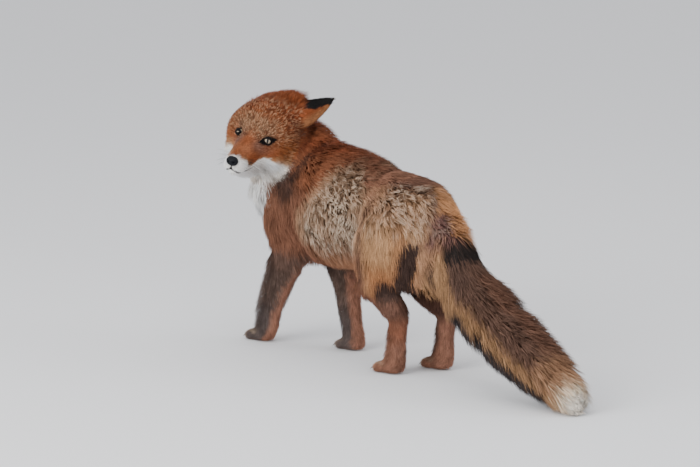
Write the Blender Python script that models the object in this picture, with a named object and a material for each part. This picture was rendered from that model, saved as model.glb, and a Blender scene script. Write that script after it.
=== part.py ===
"""A life-size red fox, standing and looking back over its left shoulder.

Metres. +X is the fox's left, -Y is the way the body faces, +Z is up.
The solids follow the outside of the winter coat. The body is built whole from
lofts and ellipsoids, fused, stood on the floor and parted by thin flat cuts.
"""

import math

import bmesh
import bpy
from mathutils import Matrix, Vector

# Driving sizes
WITHERS_HEIGHT = 0.392
CROUP_HEIGHT = 0.360
BELLY_HEIGHT = 0.160
CHEST_HALF_WIDTH = 0.094
SHOULDER_Y = -0.290
HIP_Y = 0.005
EYE_APART = 0.0544
EYE_DEPTH = 0.0070
EYE_RADIUS = 0.0085
NOSE_RADII = (0.0105, 0.0085, 0.0080)
EAR_LENGTH = 0.110
EAR_HALF_WIDTH = 0.0275
EAR_WALL = 0.0065

# Where the head is, and how it is turned: the head's own frame starts between
# the eyes, with +X to its left and -Y along the muzzle.
HEAD_AT = Vector((0.1212, -0.3010, 0.3984))
HEAD_TURN = math.radians(119.0)
HEAD_DROP = math.radians(2.0)
HEAD_TILT = math.radians(14.0)

# Each leg: side, then (x, y) at the joints and at the foot
FORELEGS = {
    "left": (1, (0.050, -0.275), (0.042, -0.345), (0.037, -0.380)),
    "right": (-1, (-0.048, -0.258), (-0.037, -0.212), (-0.035, -0.205)),
}
HINDLEGS = {
    "left": (1, (0.046, 0.020), (0.045, -0.004)),
    "right": (-1, (-0.046, 0.045), (-0.045, 0.024)),
}
PAW_HEIGHT = 0.037
HOCK_HEIGHT = 0.122

# Each ear in the head's frame: its root, the way it points, the way its back
# faces and how cupped it is. The right one is folded flat behind the crown.
EARS = {
    "left": ((0.036, 0.058, 0.032), (0.45, 0.82, 0.36), (0.30, -0.52, 0.81), 0.85),
    "right": ((-0.044, 0.086, 0.016), (-0.36, 0.88, -0.26), (-0.60, 0.10, 0.80), 0.5),
}

# How the pieces are made and parted
VOXEL = 0.0036
HEAD_VOXEL = 0.0022
SMOOTH_ROUNDS = 14
TORSO_TRIANGLES = 2500
HEAD_TRIANGLES = 1100
CUT_GAP = 0.0004
RING_SIDES = 28
STEPS_BETWEEN = 5
PLUG_REACH = 0.12

# Each leg is parted by cutters with a depth, a half width and a half height; the
# shoulder and the thigh by an oval plug with two radii.
PAW_CUTTER = (0.060, 0.035, 0.055)
FORELEG_CUTTER = (0.180, 0.050, 0.055)
HOCK_CUTTER = (0.120, 0.032, 0.045)
GASKIN_CUTTER = (0.100, 0.036, 0.075)
SHOULDER_OVAL = (0.050, 0.085)
THIGH_OVAL = (0.074, 0.078)
FORELEG_CUT_HEIGHT = 0.174
GASKIN_CUT_HEIGHT = 0.166
# Each cut across the tail and the trunk: the piece it parts off, a point on it,
# the way it faces, and its cutter
CUTS = (
    ("tail_tip", (0.021, 0.385, 0.050), (0.07, 0.9, -0.42), (0.20, 0.10, 0.080)),
    ("tail_middle", (0.008, 0.225, 0.120), (0.07, 0.9, -0.42), (0.25, 0.10, 0.090)),
    ("tail_base", (0.000, 0.112, 0.245), (0, 0.8, -0.6), (0.20, 0.09, 0.088)),
    ("neck", (0.000, -0.310, 0.305), (0, -0.751, 0.66), (0.20, 0.13, 0.140)),
    ("chest", (0.000, -0.205, 0.270), (0, -1, 0), (0.30, 0.13, 0.160)),
    ("rump", (0.000, -0.070, 0.250), (0, 1, 0), (0.30, 0.13, 0.160)),
)
# The two cuts across the muzzle, in the head's frame
JAW_CUT = ((0, -0.050, -0.052), (0, -0.10, -1), (0.030, 0.045, 0.042))
SNOUT_CUT = ((0, -0.018, -0.020), (0, -1, -0.25), (0.120, 0.036, 0.060))

FINISHES = (
    ("eye", "eye"),
    ("nose", "dark_skin"),
    ("lower_jaw", "white_coat"),
    ("tail_tip", "white_coat"),
    ("tail", "buff_coat"),
    ("thigh", "buff_coat"),
    ("trunk", "grey_flank"),
    ("foreleg", "dark_stocking"),
    ("forepaw", "dark_stocking"),
)
COLOURS = {
    "red_coat": ((0.42, 0.16, 0.055), 0.85),
    "grey_flank": ((0.40, 0.29, 0.18), 0.9),
    "buff_coat": ((0.50, 0.31, 0.14), 0.9),
    "white_coat": ((0.78, 0.74, 0.68), 0.9),
    "dark_stocking": ((0.10, 0.065, 0.045), 0.85),
    "dark_skin": ((0.02, 0.02, 0.022), 0.35),
    "eye": ((0.35, 0.24, 0.10), 0.08),
}


def clear_scene():
    for thing in list(bpy.data.objects):
        bpy.data.objects.remove(thing, do_unlink=True)


def material(name):
    made = bpy.data.materials.get(name)
    if made:
        return made
    colour, roughness = COLOURS[name]
    made = bpy.data.materials.new(name)
    made.use_nodes = True
    shader = made.node_tree.nodes["Principled BSDF"]
    shader.inputs["Base Color"].default_value = (*colour, 1.0)
    shader.inputs["Roughness"].default_value = roughness
    return made


def coat_of(name):
    """Which finish a piece has."""
    for word, finish in FINISHES:
        if name.startswith(word):
            return finish
    return "red_coat"


def object_from(name, work):
    """Turns a bmesh into a linked object and frees it."""
    mesh = bpy.data.meshes.new(name)
    bmesh.ops.recalc_face_normals(work, faces=work.faces)
    work.to_mesh(mesh)
    work.free()
    made = bpy.data.objects.new(name, mesh)
    bpy.context.scene.collection.objects.link(made)
    return made


def between(rows, steps):
    """Catmull-Rom rows through the given rows of numbers, ends included."""
    rows = [tuple(map(float, row)) for row in rows]
    padded = [rows[0], *rows, rows[-1]]
    found = []
    for i in range(1, len(padded) - 2):
        before, start, end, after = padded[i - 1 : i + 3]
        for step in range(steps):
            t = step / steps
            found.append(
                tuple(
                    0.5
                    * (
                        2 * b
                        + (c - a) * t
                        + (2 * a - 5 * b + 4 * c - d) * t**2
                        + (3 * b - a - 3 * c + d) * t**3
                    )
                    for a, b, c, d in zip(before, start, end, after)
                )
            )
    found.append(rows[-1])
    return found


def loft(name, stations, facing=None, pear=0.0):
    """A closed tube of rings. A station is (x, y, z, half across, half deep).

    The rings face along the tube, or all one way if `facing` is given. Above 0,
    `pear` makes them narrower at the top and wider at the bottom.
    """
    rows = between(stations, STEPS_BETWEEN)
    centres = [Vector(row[:3]) for row in rows]
    work = bmesh.new()
    rings = []
    for i, row in enumerate(rows):
        along = centres[min(i + 1, len(rows) - 1)] - centres[max(i - 1, 0)]
        along = Vector(facing) if facing else along.normalized()
        across = (Vector((1, 0, 0)) - along * along.x).normalized()
        deep = across.cross(along)
        ring = []
        for k in range(RING_SIDES):
            turn = 2 * math.pi * k / RING_SIDES
            high = math.sin(turn)
            wide = math.cos(turn) * (1 - pear * high)
            offset = across * (row[3] * wide) + deep * (row[4] * high)
            ring.append(work.verts.new(centres[i] + offset))
        rings.append(ring)
    for low, high in zip(rings, rings[1:]):
        for k in range(RING_SIDES):
            nxt = (k + 1) % RING_SIDES
            work.faces.new((low[k], low[nxt], high[nxt], high[k]))
    work.faces.new(rings[0][::-1])
    work.faces.new(rings[-1])
    return object_from(name, work)


def ball(name, centre, radii, segments=16, rings=10):
    """An ellipsoid whose axes lie along X, Y and Z."""
    work = bmesh.new()
    bmesh.ops.create_uvsphere(work, u_segments=segments, v_segments=rings, radius=1.0)
    place = Matrix.Translation(Vector(centre)) @ Matrix.Diagonal((*radii, 1.0))
    bmesh.ops.transform(work, matrix=place, verts=work.verts)
    return object_from(name, work)


def level(outline):
    """Stations on the middle line, from rows of y, top, bottom, half width."""
    return [
        (0.0, y, (top + bottom) / 2, half, (top - bottom) / 2)
        for y, top, bottom, half in outline
    ]


def both_sides(swellings):
    return [
        ball("swelling", (side * x, y, z), radii)
        for side in (1, -1)
        for (x, y, z), radii in swellings
    ]


def head_frame():
    """The matrix that carries the head's own frame into the body's."""
    turn = Matrix.Rotation(HEAD_TURN, 4, "Z")
    drop = Matrix.Rotation(HEAD_DROP, 4, "X")
    tilt = Matrix.Rotation(HEAD_TILT, 4, "Y")
    return Matrix.Translation(HEAD_AT) @ turn @ drop @ tilt


def baked(thing):
    """Applies the object's modifiers to its mesh."""
    graph = bpy.context.evaluated_depsgraph_get()
    mesh = bpy.data.meshes.new_from_object(thing.evaluated_get(graph))
    thing.modifiers.clear()
    old = thing.data
    thing.data = mesh
    bpy.data.meshes.remove(old)
    return thing


def joined(name, things):
    """Puts several closed shapes in one object."""
    work = bmesh.new()
    for thing in things:
        work.from_mesh(thing.data)
        bpy.data.objects.remove(thing, do_unlink=True)
    return object_from(name, work)


def trunk_shapes():
    # y, top, bottom, half width
    outline = (
        (0.100, 0.292, 0.225, 0.026),
        (0.086, 0.320, 0.195, 0.044),
        (0.056, 0.344, 0.176, 0.060),
        (HIP_Y, CROUP_HEIGHT, 0.172, 0.072),
        (-0.075, CROUP_HEIGHT + 0.008, 0.172, 0.080),
        (-0.150, CROUP_HEIGHT + 0.018, BELLY_HEIGHT, 0.088),
        (-0.215, WITHERS_HEIGHT - 0.004, BELLY_HEIGHT - 0.004, CHEST_HALF_WIDTH),
        (SHOULDER_Y, WITHERS_HEIGHT, 0.168, 0.088),
        (-0.345, 0.378, 0.190, 0.072),
        (-0.385, 0.330, 0.225, 0.048),
    )
    # centre and radii of the swellings each side: shoulder, thigh, breech, flank
    swellings = (
        ((0.052, SHOULDER_Y - 0.002, 0.262), (0.042, 0.062, 0.088)),
        ((0.046, HIP_Y - 0.010, 0.240), (0.042, 0.082, 0.086)),
        ((0.034, HIP_Y + 0.047, 0.212), (0.034, 0.042, 0.066)),
        ((0.050, HIP_Y - 0.065, 0.165), (0.026, 0.034, 0.040)),
    )
    return [loft("trunk_form", level(outline)), *both_sides(swellings)]


def neck_shapes():
    stations = (
        (0.000, -0.190, 0.295, 0.066, 0.086),
        (-0.004, -0.250, 0.310, 0.066, 0.086),
        (-0.012, -0.305, 0.330, 0.066, 0.082),
        (-0.010, -0.345, 0.348, 0.068, 0.078),
        (0.008, -0.368, 0.362, 0.064, 0.074),
        (0.036, -0.364, 0.370, 0.058, 0.064),
        (0.062, -0.346, 0.377, 0.050, 0.055),
    )
    bib = (
        (0.086, -0.316, 0.352, 0.034, 0.034),
        (0.072, -0.322, 0.318, 0.037, 0.037),
        (0.048, -0.332, 0.282, 0.041, 0.041),
        (0.024, -0.338, 0.244, 0.044, 0.044),
        (0.008, -0.330, 0.200, 0.040, 0.040),
    )
    return [loft("neck_form", stations), loft("bib_form", bib)]


def foreleg_shapes(side, elbow, wrist, foot):
    ex, ey = elbow
    wx, wy = wrist
    fx, fy = foot
    stations = (
        (side * 0.050, SHOULDER_Y, 0.255, 0.036, 0.055),
        (ex, ey, 0.195, 0.031, 0.044),
        ((ex + wx) / 2, (ey + wy) / 2 + 0.002, 0.135, 0.0255, 0.0310),
        (wx, wy, 0.070, 0.0220, 0.0245),
        ((wx + fx) / 2, (wy + fy) / 2 + 0.006, 0.034, 0.0205, 0.0210),
        (fx, fy + 0.006, 0.012, 0.0220, 0.0240),
    )
    return [loft("foreleg_form", stations), *paw_shapes(foot, 0.0225)]


def hindleg_shapes(side, hock, foot):
    hx, hy = hock
    fx, fy = foot
    thigh = (
        (side * 0.048, HIP_Y - 0.010, 0.290, 0.040, 0.070),
        (side * 0.052, -0.030, 0.225, 0.038, 0.068),
        (side * 0.052, -0.036, 0.178, 0.031, 0.052),
        ((hx + side * 0.050) / 2, -0.018, 0.145, 0.0250, 0.0370),
        (hx, hy - 0.004, 0.115, 0.0200, 0.0250),
    )
    shin = (
        (hx, hy + 0.001, 0.128, 0.0150, 0.0170),
        (hx, hy, 0.108, 0.0185, 0.0215),
        ((hx + fx) / 2, (hy + fy) / 2 + 0.006, 0.065, 0.0185, 0.0200),
        (fx, fy + 0.014, 0.030, 0.0200, 0.0220),
        (fx, fy + 0.008, 0.010, 0.0215, 0.0260),
    )
    return [
        loft("thigh_leg_form", thigh),
        loft("shin_form", shin),
        *paw_shapes(foot, 0.0220),
    ]


def paw_shapes(foot, half_width):
    """A pad and four toes, the middle two further forward."""
    fx, fy = foot
    shapes = [ball("pad_form", (fx, fy + 0.002, 0.012), (half_width, 0.028, 0.016))]
    for place in (-1.5, -0.5, 0.5, 1.5):
        reach = 0.024 if abs(place) < 1 else 0.016
        centre = (fx + place * half_width * 0.48, fy - reach, 0.0095)
        shapes.append(ball("toe_form", centre, (0.0078, 0.0155, 0.0115)))
    return shapes


def tail_shapes():
    stations = (
        (0.000, 0.036, 0.300, 0.034, 0.038),
        (0.000, 0.072, 0.270, 0.038, 0.046),
        (0.001, 0.108, 0.217, 0.046, 0.054),
        (0.004, 0.156, 0.161, 0.055, 0.066),
        (0.009, 0.236, 0.115, 0.057, 0.064),
        (0.015, 0.316, 0.079, 0.053, 0.057),
        (0.020, 0.376, 0.054, 0.046, 0.047),
        (0.025, 0.422, 0.032, 0.035, 0.037),
        (0.029, 0.452, 0.021, 0.021, 0.024),
        (0.032, 0.470, 0.015, 0.008, 0.009),
    )
    return [loft("tail_form", stations)]


def torso_shapes():
    shapes = trunk_shapes() + neck_shapes() + tail_shapes()
    for leg in FORELEGS.values():
        shapes += foreleg_shapes(*leg)
    for leg in HINDLEGS.values():
        shapes += hindleg_shapes(*leg)
    return shapes


def head_shapes():
    """The head in its own frame: crown, cheeks and muzzle."""
    # y, top, bottom, half width
    outline = (
        (0.142, 0.032, -0.024, 0.014),
        (0.134, 0.052, -0.044, 0.034),
        (0.116, 0.066, -0.060, 0.052),
        (0.088, 0.068, -0.072, 0.062),
        (0.058, 0.059, -0.077, 0.066),
        (0.036, 0.048, -0.075, 0.066),
        (0.020, 0.038, -0.072, 0.060),
        (0.008, 0.026, -0.070, 0.041),
        (-0.002, 0.0165, -0.0690, 0.0310),
        (-0.014, 0.0090, -0.0680, 0.0265),
        (-0.032, 0.0000, -0.0670, 0.0225),
        (-0.052, -0.0085, -0.0655, 0.0195),
        (-0.066, -0.0150, -0.0620, 0.0170),
        (-0.076, -0.0195, -0.0540, 0.0130),
        (-0.0805, -0.0270, -0.0450, 0.0060),
    )
    # centre and radii of the swellings each side: cheek, brow, upper lip
    swellings = (
        ((0.037, 0.054, -0.034), (0.032, 0.046, 0.042)),
        ((0.0190, 0.0180, 0.0110), (0.0180, 0.0200, 0.0130)),
        ((0.0095, -0.0600, -0.0430), (0.0125, 0.0200, 0.0120)),
    )
    shapes = [loft("head_form", level(outline), facing=(0, -1, 0), pear=0.18)]
    shapes += both_sides(swellings)
    shapes.append(ball("ear_bed", (0.034, 0.084, 0.036), (0.026, 0.040, 0.028)))
    turn = head_frame()
    for shape in shapes:
        shape.data.transform(turn)
    return shapes


def fused(name, shapes, voxel, triangles):
    """One closed skin over the shapes, softened, with about that many triangles."""
    body = joined(name, shapes)
    remesh = body.modifiers.new("fuse", "REMESH")
    remesh.mode = "VOXEL"
    remesh.voxel_size = voxel
    smooth = body.modifiers.new("soften", "SMOOTH")
    smooth.factor = 0.5
    smooth.iterations = SMOOTH_ROUNDS
    baked(body)
    thin = body.modifiers.new("thin", "DECIMATE")
    thin.ratio = triangles / sum(len(face.vertices) - 2 for face in body.data.polygons)
    return baked(body)


def copied(name, thing):
    made = bpy.data.objects.new(name, thing.data.copy())
    bpy.context.scene.collection.objects.link(made)
    return made


def combine(thing, cutter, operation):
    """Booleans the cutter into the thing and removes the cutter."""
    cut = thing.modifiers.new("cut", "BOOLEAN")
    cut.operation = operation
    cut.object = cutter
    bpy.context.view_layer.update()
    baked(thing)
    bpy.data.objects.remove(cutter, do_unlink=True)
    return thing


def grown(thing, by):
    """A copy whose surface stands out by that much."""
    made = copied("grown", thing)
    puff = made.modifiers.new("puff", "DISPLACE")
    puff.strength = by
    puff.mid_level = 0.0
    bpy.context.view_layer.update()
    return baked(made)


def block(point, normal, depth, across, upward, spare=0.0):
    """A box past a plane through the point, larger by `spare` on every side."""
    facing = Vector(normal).normalized()
    side = facing.orthogonal() if abs(facing.x) > 0.9 else Vector((1, 0, 0))
    side = (side - facing * side.dot(facing)).normalized()
    up = facing.cross(side)
    turn = Matrix((side, up, facing)).transposed().to_4x4()
    middle = Vector(point) + facing * (depth / 2)
    size = (2 * (across + spare), 2 * (upward + spare), depth + 2 * spare, 1.0)
    work = bmesh.new()
    bmesh.ops.create_cube(work, size=1.0)
    place = Matrix.Translation(middle) @ turn @ Matrix.Diagonal(size)
    bmesh.ops.transform(work, matrix=place, verts=work.verts)
    return object_from("block", work)


def plug(start, out, radii, spare=0.0, sides=22):
    """An oval bar from the start outward, larger by `spare` on every side."""
    facing = Vector(out).normalized()
    first = Vector((0, 1, 0))
    first = (first - facing * first.dot(facing)).normalized()
    second = facing.cross(first)
    work = bmesh.new()
    rings = []
    for along in (-spare, PLUG_REACH + spare):
        ring = []
        for k in range(sides):
            turn = 2 * math.pi * k / sides
            offset = first * ((radii[0] + spare) * math.cos(turn))
            offset += second * ((radii[1] + spare) * math.sin(turn))
            ring.append(work.verts.new(Vector(start) + facing * along + offset))
        rings.append(ring)
    for k in range(sides):
        nxt = (k + 1) % sides
        work.faces.new((rings[0][k], rings[0][nxt], rings[1][nxt], rings[1][k]))
    work.faces.new(rings[0][::-1])
    work.faces.new(rings[1])
    return object_from("plug", work)


def without_crumbs(thing):
    """Keeps the largest closed piece of the mesh."""
    work = bmesh.new()
    work.from_mesh(thing.data)
    left = set(work.faces)
    pieces = []
    while left:
        piece = [left.pop()]
        for face in piece:
            near = {n for edge in face.edges for n in edge.link_faces} & left
            left -= near
            piece.extend(near)
        pieces.append(piece)
    pieces.sort(key=lambda piece: sum(face.calc_area() for face in piece))
    crumbs = [face for piece in pieces[:-1] for face in piece]
    bmesh.ops.delete(work, geom=crumbs, context="FACES")
    work.to_mesh(thing.data)
    work.free()
    return thing


def part_off(body, name, cutter, *sizes):
    """Cuts what lies in the cutter off the body, as a piece of its own."""
    piece = copied(name, body)
    combine(piece, cutter(*sizes, spare=-CUT_GAP / 2), "INTERSECT")
    combine(body, cutter(*sizes, spare=CUT_GAP / 2), "DIFFERENCE")
    without_crumbs(body)
    return without_crumbs(piece)


def part_legs(torso):
    down = (0, 0, -1)
    for name, (side, elbow, wrist, foot) in FORELEGS.items():
        place = (*foot, PAW_HEIGHT)
        part_off(torso, "forepaw_" + name, block, place, down, *PAW_CUTTER)
        top = Vector(elbow).lerp(Vector(wrist), 0.1)
        along = (wrist[0] - elbow[0], wrist[1] - elbow[1], -0.125)
        place = (*top, FORELEG_CUT_HEIGHT)
        part_off(torso, "foreleg_" + name, block, place, along, *FORELEG_CUTTER)
        place = (side * 0.040, elbow[1] - 0.010, 0.232)
        out = (side, 0, 0)
        part_off(torso, "shoulder_" + name, plug, place, out, SHOULDER_OVAL)
    for name, (side, hock, foot) in HINDLEGS.items():
        place = (*foot, PAW_HEIGHT)
        part_off(torso, "hindpaw_" + name, block, place, down, *PAW_CUTTER)
        place = (*hock, HOCK_HEIGHT)
        part_off(torso, "hock_" + name, block, place, (0, 0.25, -1), *HOCK_CUTTER)
        place = (side * 0.051, HIP_Y - 0.023, GASKIN_CUT_HEIGHT)
        part_off(torso, "gaskin_" + name, block, place, (0, 0.1, -1), *GASKIN_CUTTER)
        place = (side * 0.036, HIP_Y - 0.015, 0.220)
        out = (side, 0, 0)
        part_off(torso, "thigh_" + name, plug, place, out, THIGH_OVAL)


def part_trunk(torso):
    for name, place, facing, cutter in CUTS:
        part_off(torso, name, block, place, facing, *cutter)
    torso.name = "trunk"


def stand_on_floor(torso):
    """Cuts the soles and the tail's underside flat, at the floor."""
    floor = block((0, 0, 0), (0, 0, -1), 0.1, 1.0, 1.0)
    return combine(torso, floor, "DIFFERENCE")


def place_origin():
    """Moves everything so that the origin is under the middle of the model."""
    corners = [
        thing.matrix_world @ vertex.co
        for thing in bpy.context.scene.objects
        for vertex in thing.data.vertices
    ]
    middle_x = (min(c.x for c in corners) + max(c.x for c in corners)) / 2
    middle_y = (min(c.y for c in corners) + max(c.y for c in corners)) / 2
    for thing in bpy.context.scene.objects:
        thing.data.transform(Matrix.Translation((-middle_x, -middle_y, 0)))


def ear_form(name, root, along, back, cupped):
    """Rows of crescents along the ear, solid at the root and thin at the tip."""
    along = Vector(along).normalized()
    back = (Vector(back) - along * along.dot(Vector(back))).normalized()
    side = along.cross(back)
    rows, cells = 11, 8
    spread = [2 * k / cells - 1 for k in range(cells + 1)]
    work = bmesh.new()
    rings = []
    for i in range(rows + 1):
        t = i / rows
        width = EAR_HALF_WIDTH * (1 - t**2.1) ** 0.85 * (0.78 + 0.22 * min(1, t / 0.35))
        width += 0.0022
        cup = width * cupped * (1 - 0.45 * t)
        wall = EAR_WALL * (1 - 0.5 * t) + cup * max(0, 1 - t / 0.4)
        centre = Vector(root) + along * (EAR_LENGTH * t) - back * (0.5 * cup)
        outer = [
            centre + side * (width * u) + back * (cup * (1 - u * u)) for u in spread
        ]
        inner = [
            centre
            + side * ((width - 0.25 * EAR_WALL) * u)
            + back * (cup * (1 - u * u) - wall * (0.35 + 0.65 * (1 - u * u)))
            for u in reversed(spread)
        ]
        rings.append([work.verts.new(point) for point in outer + inner])
    count = len(rings[0])
    for low, high in zip(rings, rings[1:]):
        for k in range(count):
            nxt = (k + 1) % count
            work.faces.new((low[k], low[nxt], high[nxt], high[k]))
    work.faces.new(rings[0][::-1])
    work.faces.new(rings[-1])
    bmesh.ops.triangulate(work, faces=work.faces)
    made = object_from(name, work)
    made.data.transform(head_frame())
    return made


def nose_parts(head, turn):
    """A rounded pad with two nostrils, let into the muzzle."""
    centre = Vector((0, -0.0785, -0.0310))
    pad = ball("nose", centre, NOSE_RADII)
    for side in (1, -1):
        place = centre + Vector((side * 0.0052, -0.0072, -0.0006))
        nostril = ball("nostril", place, (0.0024, 0.0036, 0.0020), segments=10, rings=6)
        combine(pad, nostril, "DIFFERENCE")
    pad.data.transform(turn)
    bed = ball("bed", centre, [radius + CUT_GAP for radius in NOSE_RADII])
    bed.data.transform(turn)
    combine(head, bed, "DIFFERENCE")


def head_parts(torso):
    """The head with its ears, eyes, nose, muzzle and lower jaw."""
    head = fused("head", head_shapes(), HEAD_VOXEL, HEAD_TRIANGLES)
    turn = head_frame()
    for name, lie in EARS.items():
        ear = ear_form("ear_" + name, *lie)
        combine(ear, grown(head, CUT_GAP), "DIFFERENCE")
        combine(ear, grown(torso, CUT_GAP), "DIFFERENCE")
        without_crumbs(ear)
    for name, side in (("left", 1), ("right", -1)):
        centre = turn @ Vector((side * EYE_APART / 2, EYE_DEPTH, 0))
        radii = (EYE_RADIUS,) * 3
        ball("eye_" + name, centre, radii)
        socket = [radius + CUT_GAP for radius in radii]
        combine(head, ball("socket", centre, socket), "DIFFERENCE")
    nose_parts(head, turn)
    for name, (place, facing, cutter) in (("lower_jaw", JAW_CUT), ("muzzle", SNOUT_CUT)):
        place = turn @ Vector(place)
        facing = turn.to_3x3() @ Vector(facing)
        part_off(head, name, block, place, facing, *cutter)


def main():
    clear_scene()
    torso = fused("torso", torso_shapes(), VOXEL, TORSO_TRIANGLES)
    stand_on_floor(torso)
    whole_head = fused("whole_head", head_shapes(), HEAD_VOXEL, HEAD_TRIANGLES)
    combine(torso, grown(whole_head, CUT_GAP), "DIFFERENCE")
    bpy.data.objects.remove(whole_head, do_unlink=True)
    head_parts(torso)
    part_legs(torso)
    part_trunk(torso)
    place_origin()
    for thing in bpy.context.scene.objects:
        thing.data.materials.clear()
        thing.data.materials.append(material(coat_of(thing.name)))


main()
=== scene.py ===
import math

import bmesh
import bpy
import numpy as np
from mathutils import Matrix, Vector
from mathutils.bvhtree import BVHTree
from mathutils.kdtree import KDTree


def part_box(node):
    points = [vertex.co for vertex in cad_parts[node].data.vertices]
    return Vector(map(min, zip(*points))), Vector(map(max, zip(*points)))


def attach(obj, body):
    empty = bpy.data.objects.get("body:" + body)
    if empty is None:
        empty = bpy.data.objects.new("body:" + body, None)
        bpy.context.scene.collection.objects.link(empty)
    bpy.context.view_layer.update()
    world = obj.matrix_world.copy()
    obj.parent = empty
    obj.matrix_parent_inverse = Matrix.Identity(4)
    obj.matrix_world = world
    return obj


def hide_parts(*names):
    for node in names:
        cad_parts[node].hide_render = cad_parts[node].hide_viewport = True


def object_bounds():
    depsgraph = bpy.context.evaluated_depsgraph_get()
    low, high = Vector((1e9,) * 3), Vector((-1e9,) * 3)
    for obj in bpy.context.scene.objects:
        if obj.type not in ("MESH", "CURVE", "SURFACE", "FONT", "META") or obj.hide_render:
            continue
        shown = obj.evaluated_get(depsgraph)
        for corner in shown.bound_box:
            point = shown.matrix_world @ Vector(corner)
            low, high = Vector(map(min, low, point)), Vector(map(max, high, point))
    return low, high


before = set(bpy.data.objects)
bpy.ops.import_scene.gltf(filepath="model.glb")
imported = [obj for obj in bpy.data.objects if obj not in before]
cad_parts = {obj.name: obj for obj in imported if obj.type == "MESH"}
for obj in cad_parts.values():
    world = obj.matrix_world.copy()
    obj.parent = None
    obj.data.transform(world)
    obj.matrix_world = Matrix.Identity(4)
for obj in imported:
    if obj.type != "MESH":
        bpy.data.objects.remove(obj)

bpy.ops.object.select_all(action="DESELECT")
cadBox = [list(corner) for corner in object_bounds()]

# The head's own frame starts between the eyes: +X to its left, -Y along the muzzle.
# Body places start at the left hind foot, and are shifted to the floor's middle.
pose = {
    "headAt": (0.1212, -0.3010, 0.3984),
    "headTurn": 119.0,
    "headDrop": 2.0,
    "headTilt": 14.0,
    "eye": (0.0272, 0.0070, 0.0),
    "eyeRadius": 0.0085,
    "nose": (0.0, -0.0785, -0.0310),
}


def headMatrix():
    turn = Matrix.Rotation(math.radians(pose["headTurn"]), 4, "Z")
    drop = Matrix.Rotation(math.radians(pose["headDrop"]), 4, "X")
    tilt = Matrix.Rotation(math.radians(pose["headTilt"]), 4, "Y")
    return Matrix.Translation(pose["headAt"]) @ turn @ drop @ tilt


eyeLow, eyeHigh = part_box("eye_left")
shift = (eyeLow + eyeHigh) / 2 - headMatrix() @ Vector(pose["eye"])
shift.z = 0.0
headToWorld = Matrix.Translation(shift) @ headMatrix()
headTurnArray = np.array(headToWorld.to_3x3())
headStart = np.array(headToWorld.translation)
shiftArray = np.array(shift)


def inHead(points):
    return (points - headStart) @ headTurnArray


def fold(local):
    # the head's right side folded on to its left
    return np.column_stack([np.abs(local[:, 0]), local[:, 1:]])


def inBody(points):
    return points - shiftArray


def step(low, high, value):
    t = np.clip((value - low) / (high - low), 0.0, 1.0)
    return t * t * (3.0 - 2.0 * t)


def between(value, low, high, soft):
    return step(low - soft, low + soft, value) * step(high + soft, high - soft, value)


def bump(value, centre, half):
    return np.exp(-(((value - centre) / half) ** 2))


def blob(points, centre, radii):
    away = (points - np.array(centre)) / np.array(radii)
    return np.exp(-(away**2).sum(1))


def ripple(points, size, seed):
    # a smooth field between about -1 and 1, whose bumps are about that size
    draw = np.random.default_rng(seed)
    total = np.zeros(len(points))
    for _ in range(7):
        way = draw.normal(size=3)
        way *= 2 * math.pi / (size * draw.uniform(1.2, 2.6)) / np.linalg.norm(way)
        total += np.sin(points @ way + draw.uniform(0, 2 * math.pi))
    return total / 2.6


def unit(rows):
    return rows / np.maximum(np.linalg.norm(rows, axis=1), 1e-9)[:, None]


def flatten(way, normals):
    return unit(way - normals * (way * normals).sum(1)[:, None])


def readRows(items, key, wide, kind=np.float32):
    found = np.empty(len(items) * wide, kind)
    items.foreach_get(key, found)
    return found.reshape(-1, wide)


def meshPoints(mesh):
    return readRows(mesh.vertices, "co", 3).astype(float)


def meshNormals(mesh):
    return readRows(mesh.vertices, "normal", 3).astype(float)


def meshEdges(mesh):
    return readRows(mesh.edges, "vertices", 2, np.int32)


def movePoints(mesh, points):
    mesh.vertices.foreach_set("co", points.astype(np.float32).ravel())
    mesh.update()


def relax(values, edges, rounds):
    # averages each vertex's values with its neighbours'
    values = np.array(values, float)
    flat = values.reshape(len(values), -1)
    count = np.bincount(edges.ravel(), minlength=len(flat)).astype(float)
    for _ in range(rounds):
        fresh = np.empty_like(flat)
        for k in range(flat.shape[1]):
            total = np.bincount(edges[:, 0], flat[edges[:, 1], k], len(flat))
            total += np.bincount(edges[:, 1], flat[edges[:, 0], k], len(flat))
            fresh[:, k] = 0.5 * flat[:, k] + 0.5 * total / np.maximum(count, 1)
        flat = fresh
    return flat.reshape(values.shape)


def linked(name, data):
    thing = bpy.data.objects.new(name, data)
    bpy.context.scene.collection.objects.link(thing)
    return thing


def newObject(name, work):
    mesh = bpy.data.meshes.new(name)
    work.to_mesh(mesh)
    work.free()
    return linked(name, mesh)


def addMesh(work, part):
    whole = bpy.data.meshes.new("part")
    part.to_mesh(whole)
    part.free()
    work.from_mesh(whole)
    bpy.data.meshes.remove(whole)


def bridgeRings(work, rings, capped):
    count = len(rings[0])
    for low, high in zip(rings, rings[1:]):
        for k in range(count):
            after = (k + 1) % count
            work.faces.new((low[k], low[after], high[after], high[k]))
    if capped:
        work.faces.new(rings[0][::-1])
        work.faces.new(rings[-1])


def paint(mesh, name, colours):
    layer = mesh.color_attributes.new(name, "FLOAT_COLOR", "POINT")
    rows = np.ones((len(colours), 4), np.float32)
    rows[:, :3] = colours
    layer.data.foreach_set("color", rows.ravel())


def settle(piece, slot, *replaced):
    # every piece is shaded smooth and rides on the one body
    piece.data.shade_smooth()
    piece.select_set(False)
    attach(piece, "root")
    if replaced:
        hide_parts(*replaced)
    return piece


# The skin: the flesh fused in voxels, drawn in by the coat's depth, with toes and ears.
skinSettings = {
    "grow": 0.0006,
    "firstVoxel": 0.0040,
    "lastVoxel": 0.0029,
    "firstSmooth": 14,
    "lastSmooth": 3,
    "tailKeep": (0.90, 0.50),
}
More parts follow.
